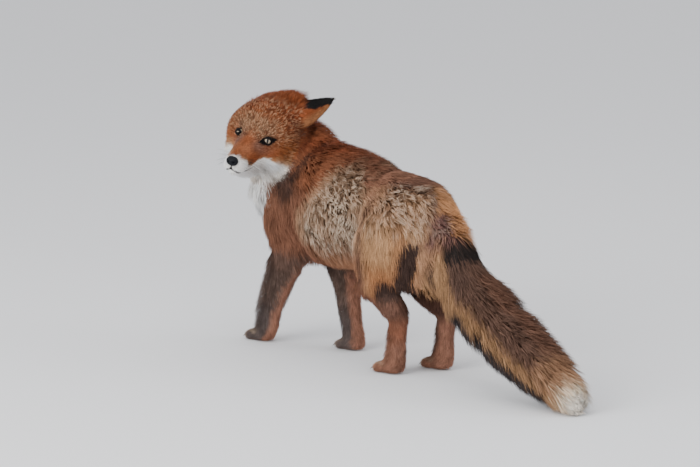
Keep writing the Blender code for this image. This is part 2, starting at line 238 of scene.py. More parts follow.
# coat depth over each kind of flesh, metres
coatDepth = {
    "trunk": 0.017, "chest": 0.017, "rump": 0.016, "neck": 0.019,
    "shoulder": 0.015, "thigh": 0.014, "gaskin": 0.008, "hock": 0.0045,
    "hindpaw": 0.0025, "foreleg": 0.0065, "forepaw": 0.0025, "tail": 0.0,
    "head": 0.0050, "muzzle": 0.0018, "lower_jaw": 0.0018, "ear": 0.0012,
}
# the tail's own line, with its half width
tailLine = np.array((
    (0.000, 0.036, 0.300, 0.036), (0.000, 0.072, 0.270, 0.042), (0.001, 0.108, 0.217, 0.050),
    (0.004, 0.156, 0.161, 0.060), (0.009, 0.236, 0.115, 0.060), (0.015, 0.316, 0.079, 0.055),
    (0.020, 0.376, 0.054, 0.046), (0.025, 0.422, 0.032, 0.036), (0.029, 0.452, 0.021, 0.022),
    (0.031, 0.464, 0.017, 0.014),
))
# each foot's middle and half width, and how far its toes reach
feet = {
    "forepaw_left": (0.037, -0.380, 0.0225), "forepaw_right": (-0.035, -0.205, 0.0225),
    "hindpaw_left": (0.045, -0.004, 0.0220), "hindpaw_right": (-0.045, 0.024, 0.0220),
}
toeReach = {"inner": 0.0245, "outer": 0.0165}
# each ear in the head's frame: root, the way it points, the way its back faces, how cupped
ears = {
    "left": ((0.037, 0.056, 0.036), (0.45, 0.82, 0.36), (0.30, -0.52, 0.81), 0.85),
    "right": ((-0.044, 0.086, 0.016), (-0.36, 0.88, -0.26), (-0.60, 0.10, 0.80), 0.5),
}
earSettings = {"length": 0.1085, "halfWidth": 0.0272, "wall": 0.0040, "rows": 30, "cells": 22}
mouth = {
    "y": (-0.085, -0.076, -0.070, -0.060, -0.034, -0.015, 0.005),
    "z": (-0.0440, -0.0480, -0.0505, -0.0525, -0.0530, -0.0490, -0.0420),
    "middle": -0.0445,
    "corner": 0.004,
    "radius": 0.0019,
}


def kindOf(name):
    return next((kind for kind in coatDepth if name.startswith(kind)), None)


fleshNames = [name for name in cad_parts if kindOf(name)]


def alongLine(points, line):
    # nearest place on a polyline: the place, the way it runs and how far along, 0 to 1
    best = np.full(len(points), 1e9)
    place = np.zeros((len(points), line.shape[1]))
    way = np.zeros((len(points), 3))
    far = np.zeros(len(points))
    lengths = np.linalg.norm(np.diff(line[:, :3], axis=0), axis=1)
    before = np.concatenate([[0.0], np.cumsum(lengths)])
    for i in range(len(line) - 1):
        start = line[i, :3]
        run = line[i + 1, :3] - start
        t = np.clip(((points - start) @ run) / (run @ run), 0, 1)
        spot = line[i] + t[:, None] * (line[i + 1] - line[i])
        away = np.linalg.norm(points - spot[:, :3], axis=1)
        closer = away < best
        best[closer] = away[closer]
        place[closer] = spot[closer]
        way[closer] = run / lengths[i]
        far[closer] = (before[i] + t[closer] * lengths[i]) / before[-1]
    return place, way, far


def nearestFlesh(points, edges, names, rounds):
    # how much of each kind of flesh lies round each place, and a search tree of the solids
    corners, faces, kinds = [], [], []
    for name in names:
        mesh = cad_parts[name].data
        base = len(corners)
        corners += [vertex.co.copy() for vertex in mesh.vertices]
        faces += [tuple(base + v for v in face.vertices) for face in mesh.polygons]
        kinds += [kindOf(name)] * len(mesh.polygons)
    tree, order = BVHTree.FromPolygons(corners, faces), sorted(set(kinds))
    share = np.zeros((len(points), len(order)))
    for i, point in enumerate(points):
        share[i, order.index(kinds[tree.find_nearest(Vector(point))[2]])] = 1.0
    return relax(share, edges, rounds), order, tree


def voxelSkin(thing, size, smooth):
    remesh = thing.modifiers.new("fuse", "REMESH")
    remesh.mode = "VOXEL"
    remesh.voxel_size = size
    soften = thing.modifiers.new("soften", "SMOOTH")
    soften.factor = 0.5
    soften.iterations = smooth
    bpy.ops.object.select_all(action="DESELECT")
    thing.select_set(True)
    bpy.context.view_layer.objects.active = thing
    for modifier in list(thing.modifiers):
        bpy.ops.object.modifier_apply(modifier=modifier.name)
    thing.select_set(False)


def addBall(work, centre, radii):
    ball = bmesh.new()
    bmesh.ops.create_uvsphere(ball, u_segments=24, v_segments=16, radius=1.0)
    place = Matrix.Translation(Vector(centre)) @ Matrix.Diagonal((*radii, 1.0))
    bmesh.ops.transform(ball, matrix=place, verts=ball.verts)
    addMesh(work, ball)


def toesOf(foot):
    # each toe's number across the foot, from the middle, and where its tip is
    centreX, centreY, half = foot
    for place in (-1.5, -0.5, 0.5, 1.5):
        reach = toeReach["inner" if abs(place) < 1 else "outer"]
        yield place, centreX + shift.x + place * half * 0.47, centreY + shift.y - reach


def addToes(work):
    for foot in feet.values():
        centreX, centreY, half = foot
        x, y = centreX + shift.x, centreY + shift.y
        addBall(work, (x, y + 0.002, 0.0120), (half - 0.004, 0.024, 0.0115))
        for _, x, y in toesOf(foot):
            addBall(work, (x, y, 0.0085), (0.0052, 0.0125, 0.0080))


def earAxes(form):
    along = Vector(form[1]).normalized()
    back = (Vector(form[2]) - along * along.dot(Vector(form[2]))).normalized()
    return along, back, along.cross(back)


def earWidth(far):
    rounded = (1 - far**2.1) ** 0.85
    return earSettings["halfWidth"] * rounded * (0.78 + 0.22 * np.minimum(1, far / 0.35)) + 0.0014


def earShell(form):
    root, cupped = form[0], form[3]
    along, back, side = earAxes(form)
    rows, cells = earSettings["rows"], earSettings["cells"]
    spread = [2 * k / cells - 1 for k in range(cells + 1)]
    work = bmesh.new()
    rings = []
    for i in range(rows + 1):
        t = i / rows
        width = float(earWidth(t))
        cup = width * cupped * (1 - 0.45 * t)
        wall = earSettings["wall"] * (1 - 0.6 * t) + cup * max(0, 1 - t / 0.35)
        centre = Vector(root) + along * (earSettings["length"] * t) - back * (0.5 * cup + 0.0010)
        outer = [centre + side * (width * u) + back * (cup * (1 - u * u)) for u in spread]
        inner = [
            centre + side * ((width - 0.0008) * u)
            + back * (cup * (1 - u * u) - wall * (0.35 + 0.65 * (1 - u * u)))
            for u in reversed(spread)
        ]
        rings.append([work.verts.new(headToWorld @ point) for point in outer + inner])
    bridgeRings(work, rings, True)
    bmesh.ops.recalc_face_normals(work, faces=work.faces)
    return work


def addEars(work):
    for form in ears.values():
        addMesh(work, earShell(form))


def editMesh(thing, change):
    work = bmesh.new()
    work.from_mesh(thing.data)
    change(work)
    work.to_mesh(thing.data)
    work.free()


def ruffMask(x, y, z):
    return step(0.030, 0.060, x) * step(0.005, 0.050, y) * step(0.020, -0.040, z)


def headDepth(local):
    x, y, z = fold(local).T
    depth = 0.0018 + 0.0022 * step(-0.020, 0.020, y) + 0.0060 * step(0.030, 0.110, y)
    depth = depth + 0.011 * ruffMask(x, y, z)
    return depth + 0.004 * step(-0.050, -0.075, z) * step(-0.02, 0.03, y)


def buildSkin():
    flesh = [name for name in fleshNames if kindOf(name) != "ear"]
    work = bmesh.new()
    for name in flesh:
        part = bmesh.new()
        part.from_mesh(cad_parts[name].data)
        bmesh.ops.remove_doubles(part, verts=part.verts, dist=1e-5)
        part.normal_update()
        for vertex in part.verts:
            vertex.co += vertex.normal * skinSettings["grow"]
        addMesh(work, part)
    skin = newObject("skin", work)
    voxelSkin(skin, skinSettings["firstVoxel"], skinSettings["firstSmooth"])
    points, edges = meshPoints(skin.data), meshEdges(skin.data)
    share, order, _ = nearestFlesh(points, edges, flesh, 12)
    depth = share @ np.array([coatDepth[kind] for kind in order])
    depth += share[:, order.index("head")] * (headDepth(inHead(points)) - coatDepth["head"])
    # the tail's flesh is drawn in towards its own line
    place, _, far = alongLine(inBody(points), tailLine)
    baseKeep, endKeep = skinSettings["tailKeep"]
    keep = baseKeep + (endKeep - baseKeep) * step(0.05, 0.34, far)
    inward = (place[:, :3] + shiftArray - points) * (1 - keep)[:, None]
    normals = unit(relax(meshNormals(skin.data), edges, 4))
    points = points - normals * depth[:, None] + inward * share[:, order.index("tail")][:, None]
    movePoints(skin.data, relax(points, edges, 3))
    # toes and ears are added at their own size
    editMesh(skin, addToes)
    voxelSkin(skin, skinSettings["lastVoxel"], skinSettings["lastSmooth"])
    editMesh(skin, addEars)
    print("skin", len(skin.data.polygons), "faces")
    return skin


def shapeFace(mesh):
    # sockets, cheeks, brows and lip line
    points = meshPoints(mesh)
    local = inHead(points)
    folded = fold(local)
    y, z = local[:, 1], local[:, 2]
    sink = 0.0030 * blob(folded, (0.020, -0.006, -0.002), (0.010, 0.012, 0.009))
    sink += 0.0016 * blob(folded, (0.036, 0.004, -0.012), (0.012, 0.012, 0.008))
    sink -= 0.0022 * blob(folded, (0.028, 0.012, 0.013), (0.015, 0.009, 0.006))
    sink -= 0.0015 * blob(folded, (0.012, -0.050, -0.042), (0.006, 0.018, 0.008))
    sink += 0.0016 * bump(z, np.interp(y, mouth["y"], mouth["z"]), 0.0016) * ((y > -0.085) & (y < 0.006))
    near = np.abs(local).max(1) < 0.12
    movePoints(mesh, points - meshNormals(mesh) * (sink * near)[:, None])


skin = buildSkin()
shapeFace(skin.data)
settle(skin, "red_coat", *fleshNames)

# The lie of the coat. Each kind of flesh has its tufts' length, width, density and clumping.
coatForm = {
    "trunk": (0.036, 0.0016, 1.00, 0.40), "chest": (0.036, 0.0016, 1.00, 0.36),
    "rump": (0.034, 0.0016, 1.00, 0.38), "neck": (0.036, 0.0016, 1.10, 0.34),
    "shoulder": (0.032, 0.0015, 1.10, 0.34), "thigh": (0.032, 0.0015, 1.10, 0.36),
    "gaskin": (0.022, 0.0014, 1.40, 0.30), "hock": (0.014, 0.0011, 1.90, 0.22),
    "hindpaw": (0.009, 0.0009, 2.60, 0.18), "foreleg": (0.017, 0.0012, 1.80, 0.26),
    "forepaw": (0.009, 0.0009, 2.60, 0.18), "tail": (0.050, 0.0018, 1.15, 0.38),
    "head": (0.014, 0.0010, 2.60, 0.34), "muzzle": (0.0060, 0.0007, 4.60, 0.15),
    "lower_jaw": (0.0060, 0.0007, 4.60, 0.15), "ear": (0.008, 0.0008, 3.00, 0.15),
}
neckLine = np.array((
    (0.100, -0.318, 0.385), (0.062, -0.346, 0.382), (0.030, -0.366, 0.372), (0.004, -0.366, 0.360),
    (-0.012, -0.340, 0.345), (-0.010, -0.300, 0.330), (-0.004, -0.240, 0.305), (0.000, -0.180, 0.290),
))


def nearEar(points, name, margin):
    low, high = (np.array(corner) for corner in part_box("ear_" + name))
    return ((points > low - margin) & (points < high + margin)).all(1)


def headFan(local):
    # over the head the hair fans out from the nose, and parts round each eye
    y, z = local[:, 1], local[:, 2]
    fan = unit(local - np.array((0.0, -0.082, -0.022)))
    fan += np.array((0.0, 0.25, -0.14)) * (step(-0.02, -0.06, z) * step(-0.01, 0.04, y))[:, None]
    fan += np.array((0.0, 0.5, 0.0)) * step(0.03, 0.09, y)[:, None]
    for side in (1, -1):
        away = local - np.array(pose["eye"]) * np.array((side, 1, 1))
        closeness = np.exp(-((np.linalg.norm(away, axis=1) / 0.016) ** 2))
        fan += unit(away) * (0.9 * closeness)[:, None]
    return fan @ headTurnArray.T


def layOf(points, normals, share, order):
    # which way the coat runs at each place, before it is smoothed
    body = inBody(points)
    y, z = body[:, 1], body[:, 2]
    way = np.zeros_like(points)

    def add(kinds, *run):
        rows = run[0] if len(run) == 1 else np.column_stack([part + 0 * z for part in run])
        for kind in kinds:
            way[:] += share[:, order.index(kind)][:, None] * unit(rows)

    down, seat, front = step(0.335, 0.250, z), step(0.035, 0.085, y), step(-0.29, -0.34, y)
    add(["trunk"], 0, 1.0 - 0.45 * down, -0.25 - 0.75 * down)
    add(["rump"], 0, 1.0 - 0.55 * down * (1 - seat), -0.35 - 0.65 * down - 0.9 * seat)
    add(["chest"], 0.1, 0.85 - 0.55 * down - 0.2 * front, -0.45 - 0.55 * down - 0.5 * front)
    add(["shoulder"], 0, 0.40, -0.90)
    add(["thigh"], 0, 0.30 - 0.25 * step(0.25, 0.18, z), -1.0)
    add(["gaskin", "hock"], 0, 0.30, -1.0)
    add(["foreleg"], 0, 0.25, -1.0)
    low = step(0.030, 0.012, z)
    add(["hindpaw", "forepaw"], 0, -0.2 - 1.0 * low, -1.0 + 0.5 * low)
    _, tailWay, _ = alongLine(body, tailLine)
    add(["tail"], tailWay + np.array((0.0, 0.0, -0.40)) * step(0.75, 0.2, normals[:, 2])[:, None])
    _, neckWay, _ = alongLine(body, neckLine)
    front = step(0.25, 0.75, normals @ np.array((0.5, -0.85, -0.1)))[:, None]
    add(["neck"], neckWay * (1 - front) + np.array((-0.10, 0.10, -1.0)) * front + np.array((0, 0, -0.45)))
    add(["head", "muzzle", "lower_jaw"], headFan(inHead(points)))
    for name, form in ears.items():
        mine = nearEar(points, name, 0.004)
        way[mine] += share[mine, order.index("ear")][:, None] * (headTurnArray @ np.array(form[1]))
    return way


def surveySkin(mesh):
    points, edges, normals = meshPoints(mesh), meshEdges(mesh), meshNormals(mesh)
    share, order, tree = nearestFlesh(points, edges, fleshNames, 6)
    soft = unit(relax(normals, edges, 3))
    way = flatten(layOf(points, soft, share, order), soft)
    for _ in range(4):
        way = flatten(relax(way, edges, 4), soft)
    hindquarters = sum(share[:, order.index(kind)] for kind in ("rump", "thigh", "tail", "gaskin"))
    fixed = 1 - step(0.3, 0.8, hindquarters)[:, None]
    for _ in range(5):
        way = flatten(way * fixed + relax(way, edges, 9) * (1 - fixed), soft)
    # how far the outside of the coat stands over the skin
    room = np.empty(len(points))
    for i, (point, normal) in enumerate(zip(points, soft)):
        start = Vector(point)
        hit, near = tree.ray_cast(start, Vector(normal), 0.06), tree.find_nearest(start)
        room[i] = min(hit[3], 2.2 * near[3]) if hit[0] is not None else near[3]
    return {
        "points": points, "normals": soft, "way": way,
        "room": relax(np.clip(room, 0.0012, 0.034), edges, 8),
        "share": {kind: share[:, k] for k, kind in enumerate(order)},
        "form": share @ np.array([coatForm[kind] for kind in order]),
    }


survey = surveySkin(skin.data)
print("coat laid out")

# The markings and painted shade, which the skin and the coat share.
tint = {
    "rust": (0.178, 0.077, 0.046), "russet": (0.215, 0.078, 0.038), "chestnut": (0.172, 0.043, 0.018),
    "amber": (0.262, 0.068, 0.022), "dun": (0.332, 0.195, 0.116), "fawn": (0.315, 0.170, 0.095),
    "oat": (0.425, 0.236, 0.118), "honey": (0.330, 0.142, 0.061), "belly": (0.305, 0.145, 0.078),
    "loam": (0.205, 0.096, 0.060), "plum": (0.145, 0.071, 0.061), "ochre": (0.290, 0.160, 0.080),
    "bark": (0.085, 0.042, 0.031), "brick": (0.262, 0.104, 0.060), "walnut": (0.100, 0.055, 0.041),
    "copper": (0.350, 0.130, 0.060), "white": (0.880, 0.855, 0.810), "cream": (0.700, 0.520, 0.350),
    "sand": (0.555, 0.264, 0.118), "umber": (0.042, 0.024, 0.019), "black": (0.010, 0.009, 0.009),
    "slate": (0.085, 0.076, 0.078), "gold": (0.440, 0.162, 0.056), "ink": (0.026, 0.024, 0.028),
    "clay": (0.340, 0.158, 0.104), "smoke": (0.116, 0.081, 0.066), "mauve": (0.210, 0.120, 0.095),
    "tan": (0.420, 0.225, 0.125), "blush": (0.408, 0.1896, 0.1248), "straw": (0.55, 0.33, 0.19),
    # the frosted locks' dark root and the dark gap clumps' tones here are painted shade between the locks
    "frostRootShade": (0.045, 0.028, 0.020), "frostMiddle": (0.340, 0.240, 0.165),
    "frostTip": (0.760, 0.640, 0.510), "gapShadeMiddle": (0.048, 0.032, 0.024), "gapShadeTip": (0.080, 0.052, 0.037),
}
tint = {name: np.array(colour) for name, colour in tint.items()}
# the way an eye's lids face, in the head's frame, and how far their slit is turned
eyeAxis = (0.50, -0.84, 0.20)
eyeSlant = 16.0
# the white of lip, cheek and throat ends along this line, in the head's frame
whiteLine = {
    "y": (-0.085, -0.070, -0.055, -0.042, -0.030, -0.016, 0.000, 0.012, 0.026, 0.040, 0.052, 0.070),
    "z": (-0.018, -0.024, -0.030, -0.041, -0.045, -0.036, -0.029, -0.029, -0.037, -0.046, -0.054, -0.072),
}
# the black of the ear's back ends at this line: along the ear, and across it
earBlack = {
    "far": (0.06, 0.20, 0.38, 0.52, 0.68, 0.83, 0.95),
    "across": (-1.10, -0.45, 0.04, 0.34, 0.40, 0.58, 1.40),
}
# the bib reaches back to this line on each side of the chest
bibLine = {
    "z": (0.215, 0.236, 0.259, 0.275, 0.300, 0.320, 0.345),
    "y": (-0.335, -0.326, -0.318, -0.308, -0.300, -0.297, -0.290),
}
# the fold between flank and thigh, darkened with painted shade
creaseShadeLine = {"z": (0.146, 0.204, 0.249, 0.298, 0.330), "y": (-0.060, -0.047, -0.042, -0.033, -0.030)}
# the edges of the dark stripe of painted shade down the back of the thigh, by height
thighShadeEdge = {
    "z": (0.150, 0.187, 0.211, 0.233, 0.251),
    "front": (0.012, 0.028, 0.043, 0.051, 0.054),
    "rear": (0.050, 0.064, 0.070, 0.073, 0.075),
}
# the shadowed line behind the ruff, from the nape down to the chest
ruffLine = np.array((
    (0.000, -0.223, 0.391), (0.040, -0.213, 0.376), (0.062, -0.222, 0.359), (0.073, -0.230, 0.345),
    (0.082, -0.242, 0.330), (0.087, -0.262, 0.316), (0.090, -0.250, 0.300),
))
# the dark furrow over the loin: painted shadow
loinShadeLine = np.array((
    (0.036, -0.005, 0.350), (0.033, 0.022, 0.346), (0.027, 0.050, 0.342),
    (0.016, 0.069, 0.336), (0.017, 0.082, 0.323), (0.019, 0.089, 0.309),
))


def mix(base, colour, amount):
    amount = np.clip(amount, 0, 1)[:, None]
    return base * (1 - amount) + colour * amount


def layered(colour, *layers):
    # tints laid over a colour one after another, each as far as its mask says
    for name, amount in layers:
        colour = mix(colour, tint[name], amount)
    return colour


def allOver(name, points):
    return np.tile(tint[name], (len(points), 1))


def frostTop(y):
    # the frosted field's upper edge falls away towards the shoulder
    return 0.350 + 1.15 * np.minimum(0, y + 0.148)


def nearLine(body, normals, line):
    # how far over the coat a line is, and how far along it
    place, _, far = alongLine(body, line)
    away = body - place
    away -= normals * (away * normals).sum(1)[:, None]
    return np.linalg.norm(away, axis=1), far


def flankMask(x, y, z):
    # the pale, frosted field of the flank, from behind the shoulder to the loin
    right = step(0.0, -0.03, x)
    front = y + 0.40 * np.clip(0.335 - z, 0, 0.05)
    flank = step(-0.212 - 0.03 * right, -0.178 + 0.04 * right, front) * step(0.195, 0.235, z)
    top = frostTop(y) - 0.006 - 0.9 * np.clip(y + 0.085, 0, 0.035)
    return flank * step(top + 0.012, top - 0.012, z) * step(0.16, 0.11, y)


def sandLobe(body, wave):
    # the sandy right half of the seat and of the tail's root
    return step(0.010, -0.003, body[:, 0] + wave + 0.02 * (0.320 - body[:, 2]))


def bodyColour(points, normals, share, wave):
    body = inBody(points)
    x, y, z = body.T
    high, back = z + wave, y + wave
    flank = flankMask(x, y + 1.5 * wave, high)
    thigh = step(-0.045, -0.020, y) * step(0.290, 0.255, high)
    creaseShade = bump(y + 0.5 * wave, np.interp(z, creaseShadeLine["z"], creaseShadeLine["y"]), 0.0055)
    over = step(0.030, 0.012, x + wave - 0.22 * (0.300 - z)) * step(0.068, 0.088, back)
    furrowShade, _ = nearLine(body, normals, loinShadeLine)
    sand = sandLobe(body, wave) * step(-0.090, -0.055, x)
    front, rear = (np.interp(z, thighShadeEdge["z"], thighShadeEdge[edge]) for edge in ("front", "rear"))
    thighShade = step(-0.004, 0.004, y + 0.7 * wave - front) * step(0.004, -0.004, y + 0.7 * wave - rear)
    bib = step(0.004, -0.004, y - np.interp(z, bibLine["z"], bibLine["y"]) + wave)
    bib = bib * between(z, 0.222, 0.352, 0.010) * step(-0.060, -0.035, x)
    # painted shadow along the line behind the ruff, and a patch of it under the ruff
    away, far = nearLine(body, normals, ruffLine)
    dark = step(0.013 + 0.006 * step(0.3, 0.7, far), 0.004, away + wave) * (0.55 + 0.40 * step(0.3, 0.8, far))
    shadow = blob(body, (0.080, -0.262, 0.305), (0.040, 0.034, 0.024))
    return layered(
        allOver("rust", points),
        ("russet", step(0.285, 0.330, high) * step(-0.10, -0.17, y)),
        ("chestnut", step(0.345, 0.375, high) * step(-0.06, -0.12, y)),
        ("loam", step(0.325, 0.340, high) * step(-0.09, -0.02, y)),
        ("dun", flank),
        ("walnut", 0.22 * flank * step(0.305, 0.340, high)),
        ("belly", 0.9 * between(high, 0.165, 0.205, 0.012) * between(y, -0.20, -0.04, 0.02)),
        ("fawn", step(-0.055, -0.030, y) * step(0.336, 0.314, high)),
        ("oat", 0.95 * thigh),
        ("honey", thigh * step(0.225, 0.175, high)),
        ("honey", 0.6 * thigh * between(back, 0.030, 0.056, 0.008)),
        ("bark", 0.60 * step(0.322, 0.342, high) * between(y, 0.010, 0.082, 0.02)),
        # painted shade in the fold between flank and thigh
        ("bark", 0.80 * creaseShade * between(z, 0.15, 0.315, 0.01)),
        # the seat: a pale lock and fawn beside the tail, plum over it, sand on the right
        ("fawn", step(0.064, 0.078, back)),
        ("oat", 0.8 * blob(body, (0.045, 0.062, 0.314), (0.018, 0.026, 0.018))),
        ("plum", over * step(0.350, 0.330, z) * step(0.222, 0.245, z)),
        # painted shadow in the furrow over the loin
        ("bark", 0.70 * step(0.011, 0.003, furrowShade + 0.8 * wave)),
        ("sand", sand * step(0.050, 0.072, back) * step(0.342, 0.322, z)),
        # painted shade down the shadowed back of the thigh
        ("umber", 1.1 * thighShade * between(high, 0.138, 0.245, 0.008)),
        # the nape, painted shadow behind the ruff, and the bib
        ("copper", 0.65 * blob(body, (-0.006, -0.266, 0.402), (0.040, 0.034, 0.026))),
        ("umber", np.maximum(dark, 0.88 * step(0.08, 0.62, shadow + 20 * wave))),
        ("white", bib * step(0.3, 0.0, share["head"])),
    )


def legColour(colour, points, normals, share, wave):
    x, y, z = inBody(points).T
    high = z + wave
    spots = ripple(points, 0.006, 14)
    outside = normals @ np.array((0.8, -0.4, 0.0))
    upper = share["shoulder"] * step(0.20, 0.17, z)
    foreleg = np.clip(share["foreleg"] + share["forepaw"] + upper, 0, 1)
    dark = step(0.192, 0.160, high) * step(0.00, 0.50, outside + 16 * wave + 0.20 * spots)
    mottled = step(-0.1, 0.6, spots + 60 * wave) * between(z, 0.060, 0.150, 0.02)
    hind = np.clip(share["gaskin"] + share["hock"] + share["hindpaw"], 0, 1)
    banded = np.clip(hind + share["thigh"] + share["rump"], 0, 1)
    onRight = step(-0.005, -0.020, x)
    inner = np.maximum(step(-0.35, 0.25, normals[:, 0]), step(-0.01, 0.03, y)) * onRight
    rear = step(0.35, 0.80, normals[:, 1]) * step(0.150, 0.115, high)
    toes = step(0.002, -0.3, normals[:, 1]) * step(0.024, 0.012, z + 0.5 * wave)
    return layered(
        colour,
        ("clay", foreleg * step(0.175, 0.145, high)),
        ("walnut", 0.7 * foreleg * step(0.120, 0.150, high)),
        ("smoke", 0.95 * foreleg * dark),
        ("walnut", 0.8 * foreleg * dark * step(0.120, 0.165, high)),
        ("umber", 0.55 * foreleg * dark * mottled),
        ("slate", 0.5 * foreleg * dark * step(0.10, 0.05, z) * step(0.2, 0.6, outside)),
        ("brick", hind * step(0.150, 0.128, high)),
        ("umber", 1.2 * banded * (between(high, 0.130, 0.167, 0.006) * step(-0.028, -0.010, y))),
        ("clay", hind * np.maximum(onRight, step(0.070, 0.045, z)) * step(0.140, 0.120, z)),
        ("walnut", 0.8 * hind * (1 - onRight) * between(high, 0.098, 0.135, 0.012)),
        ("bark", 0.9 * hind * inner * step(0.085, 0.105, high)),
        ("walnut", 0.75 * hind * inner * step(0.1, -0.5, normals[:, 1])),
        ("walnut", 0.45 * hind * step(-0.1, 0.7, spots) * step(0.100, 0.060, z)),
        ("loam", 0.4 * hind * step(0.055, 0.025, z)),
        # paler down the backs of the legs, and over the toes
        ("blush", 0.45 * rear * np.maximum(foreleg, hind * onRight)),
        ("cream", np.clip(share["forepaw"] + share["hindpaw"], 0, 1) * toes * (0.32 + 0.12 * spots)),
    )


def tailColour(points, normals, wave):
    body = inBody(points)
    _, way, far = alongLine(body, tailLine)
    # how far round the tail each place is: 1 on top, -1 underneath
    top = np.array((-0.18, 0.12, 1.0))
    top = unit(top - way * (way @ top)[:, None])
    up = (normals * top).sum(1)
    along = far + wave
    mottle = step(-0.2, 0.5, ripple(points, 0.024, 8)) * step(-0.6, 0.6, ripple(points, 0.007, 9))
    back = step(0.06, 0.36, up + 13 * wave)
    band = bump(along + 0.03 * (1 - np.clip(up, 0, 1)), 0.241, 0.045)
    under = step(-0.16, -0.38, up + 9 * wave)
    return layered(
        allOver("ochre", points),
        ("walnut", 0.95 * back),
        ("umber", 0.50 * back * mottle),
        ("loam", 0.45 * step(0.80, 0.95, up + 8 * wave) * step(0.3, 0.4, far)),
        ("plum", back * step(0.18, 0.14, far)),
        ("sand", sandLobe(body, wave) * step(0.200, 0.150, far) * step(-0.3, 0.1, up)),
        ("black", 0.94 * step(0.02, 0.26, up + 10 * wave) * step(0.25, 0.7, band)),
        ("umber", 0.6 * back * bump(along, 0.330, 0.070) * step(0.95, 0.6, up)),
        # painted shade: the tail's underside darkened to near black along its middle
        ("ink", 0.95 * under * between(far, 0.38, 0.90, 0.03)),
        ("fawn", 0.90 * step(0.78, 0.88, along) * step(-0.2, 0.1, up)),
        ("cream", step(0.915, 0.982, along)),
        ("white", 0.58 * step(0.955, 0.998, along)),
    )


def aroundEye(folded):
    # along and across the slit of the lids, from the eye's middle, for either side
    axis = np.array(eyeAxis) / np.linalg.norm(eyeAxis)
    right = unit(np.cross((0.0, 0.0, 1.0), axis)[None])[0]
    up = np.cross(axis, right)
    tilt = math.radians(eyeSlant)
    away = folded - np.array(pose["eye"])
    u, v = away @ right, away @ up
    near = step(0.026, 0.020, np.linalg.norm(away, axis=1))
    return u * math.cos(tilt) + v * math.sin(tilt), v * math.cos(tilt) - u * math.sin(tilt), near


def browOf(local):
    # the speckled forehead and temples
    y, z = local[:, 1], local[:, 2]
    return step(-0.042, -0.004, y) * step(0.102, 0.064, y) * step(-0.024, 0.004, z - 0.15 * y)


def faceColour(points, wave):
    local = inHead(points)
    x, y, z = local.T
    folded = fold(local)

    def spot(centre, radii):
        return blob(folded, centre, radii)

    fine = ripple(points, 0.0045, 12)
    over = z - np.interp(y, whiteLine["y"], whiteLine["z"]) + wave + 0.0010 * fine
    soft = 0.0022 + 0.0060 * step(0.005, 0.045, y) + 0.0012 * step(-0.020, -0.040, y)
    soft += 0.0040 * step(-0.004, -0.014, x)
    along, across, near = aroundEye(folded)
    slim = 1 - 0.25 * step(0.0, -0.01, x)
    lens = np.abs(across) / (0.0068 * slim * np.clip(1 - (along / (0.0185 * slim)) ** 2, 0.02, 1))
    return layered(
        allOver("amber", points),
        ("tan", spot((0.016, 0.008, 0.022), (0.036, 0.026, 0.026)) * (0.75 + 0.25 * fine)),
        ("loam", 0.5 * spot((0.034, 0.000, 0.016), (0.020, 0.016, 0.014))),
        ("chestnut", 0.65 * spot((0.050, 0.062, 0.030), (0.014, 0.024, 0.020))),
        ("chestnut", 0.35 * step(0.030, 0.060, y) * step(0.020, 0.040, z)),
        ("gold", 0.60 * spot((0.060, 0.045, -0.015), (0.018, 0.026, 0.020))),
        ("copper", 0.85 * spot((0.008, -0.045, -0.014), (0.014, 0.022, 0.014))),
        ("brick", 0.80 * spot((0.032, -0.004, -0.018), (0.020, 0.018, 0.010))),
        ("loam", 0.70 * spot((0.018, -0.020, -0.006), (0.008, 0.018, 0.012))),
        ("mauve", 0.75 * blob(local, (-0.024, -0.018, 0.000), (0.012, 0.026, 0.018))),
        ("mauve", 0.45 * blob(local, (0.026, -0.014, -0.008), (0.014, 0.012, 0.010))),
        # the white of the lip and cheek, with a soft edge of its own
        ("oat", 0.8 * step(3.0 * soft, 0.2 * soft, over) * step(-0.075, -0.050, y)),
        ("white", step(1.0 * soft, -1.0 * soft, over)),
        ("cream", 0.50 * step(0.018, 0.050, y) * step(0.006, -0.006, over)),
        ("umber", 0.80 * spot((0.018, -0.038, -0.037), (0.007, 0.0070, 0.0050))),
        # the dark round the eyes
        ("umber", 0.60 * near * step(1.75, 1.15, lens + 40 * wave)),
        ("black", near * step(1.15, 0.90, lens)),
    )


def earColour(points, normals, wave):
    colour = allOver("black", points)
    for name, form in ears.items():
        along, back, side = (np.array(axis) for axis in earAxes(form))
        away = inHead(points) - np.array(form[0])
        far = away @ along / earSettings["length"]
        across = away @ side / earWidth(np.clip(far, 0, 1)) * (1 if name == "left" else -1)
        edge = step(-0.06, 0.06, across - np.interp(far, earBlack["far"], earBlack["across"]) + 10 * wave)
        inside = step(-0.1, -0.5, normals @ (headTurnArray @ back))
        one = layered(
            allOver("black", points),
            ("amber", edge),
            ("honey", 0.9 * edge * step(0.35, 0.8, across)),
            ("cream", 0.85 * inside * step(1.1, 0.8, np.abs(across))),
        )
        mine = nearEar(points, name, 0.006)
        colour[mine] = one[mine]
    return colour


def markingsAndShade(points, normals, share):
    ruffle, fine = ripple(points, 0.020, 3), ripple(points, 0.008, 4)
    wave = 0.0045 * ruffle + 0.0025 * fine
    colour = bodyColour(points, normals, share, wave)
    colour = legColour(colour, points, normals, share, wave)
    colour = mix(colour, tailColour(points, normals, wave), 1.3 * share["tail"])
    headShare = share["head"] + share["muzzle"] + share["lower_jaw"]
    colour = mix(colour, faceColour(points, 0.5 * wave), 1.4 * headShare)
    colour = mix(colour, earColour(points, normals, 0.5 * wave), 1.5 * share["ear"])
    shade = 1 + 0.10 * ruffle + 0.07 * fine
    return np.clip(colour * shade[:, None], 0.004, 0.88)


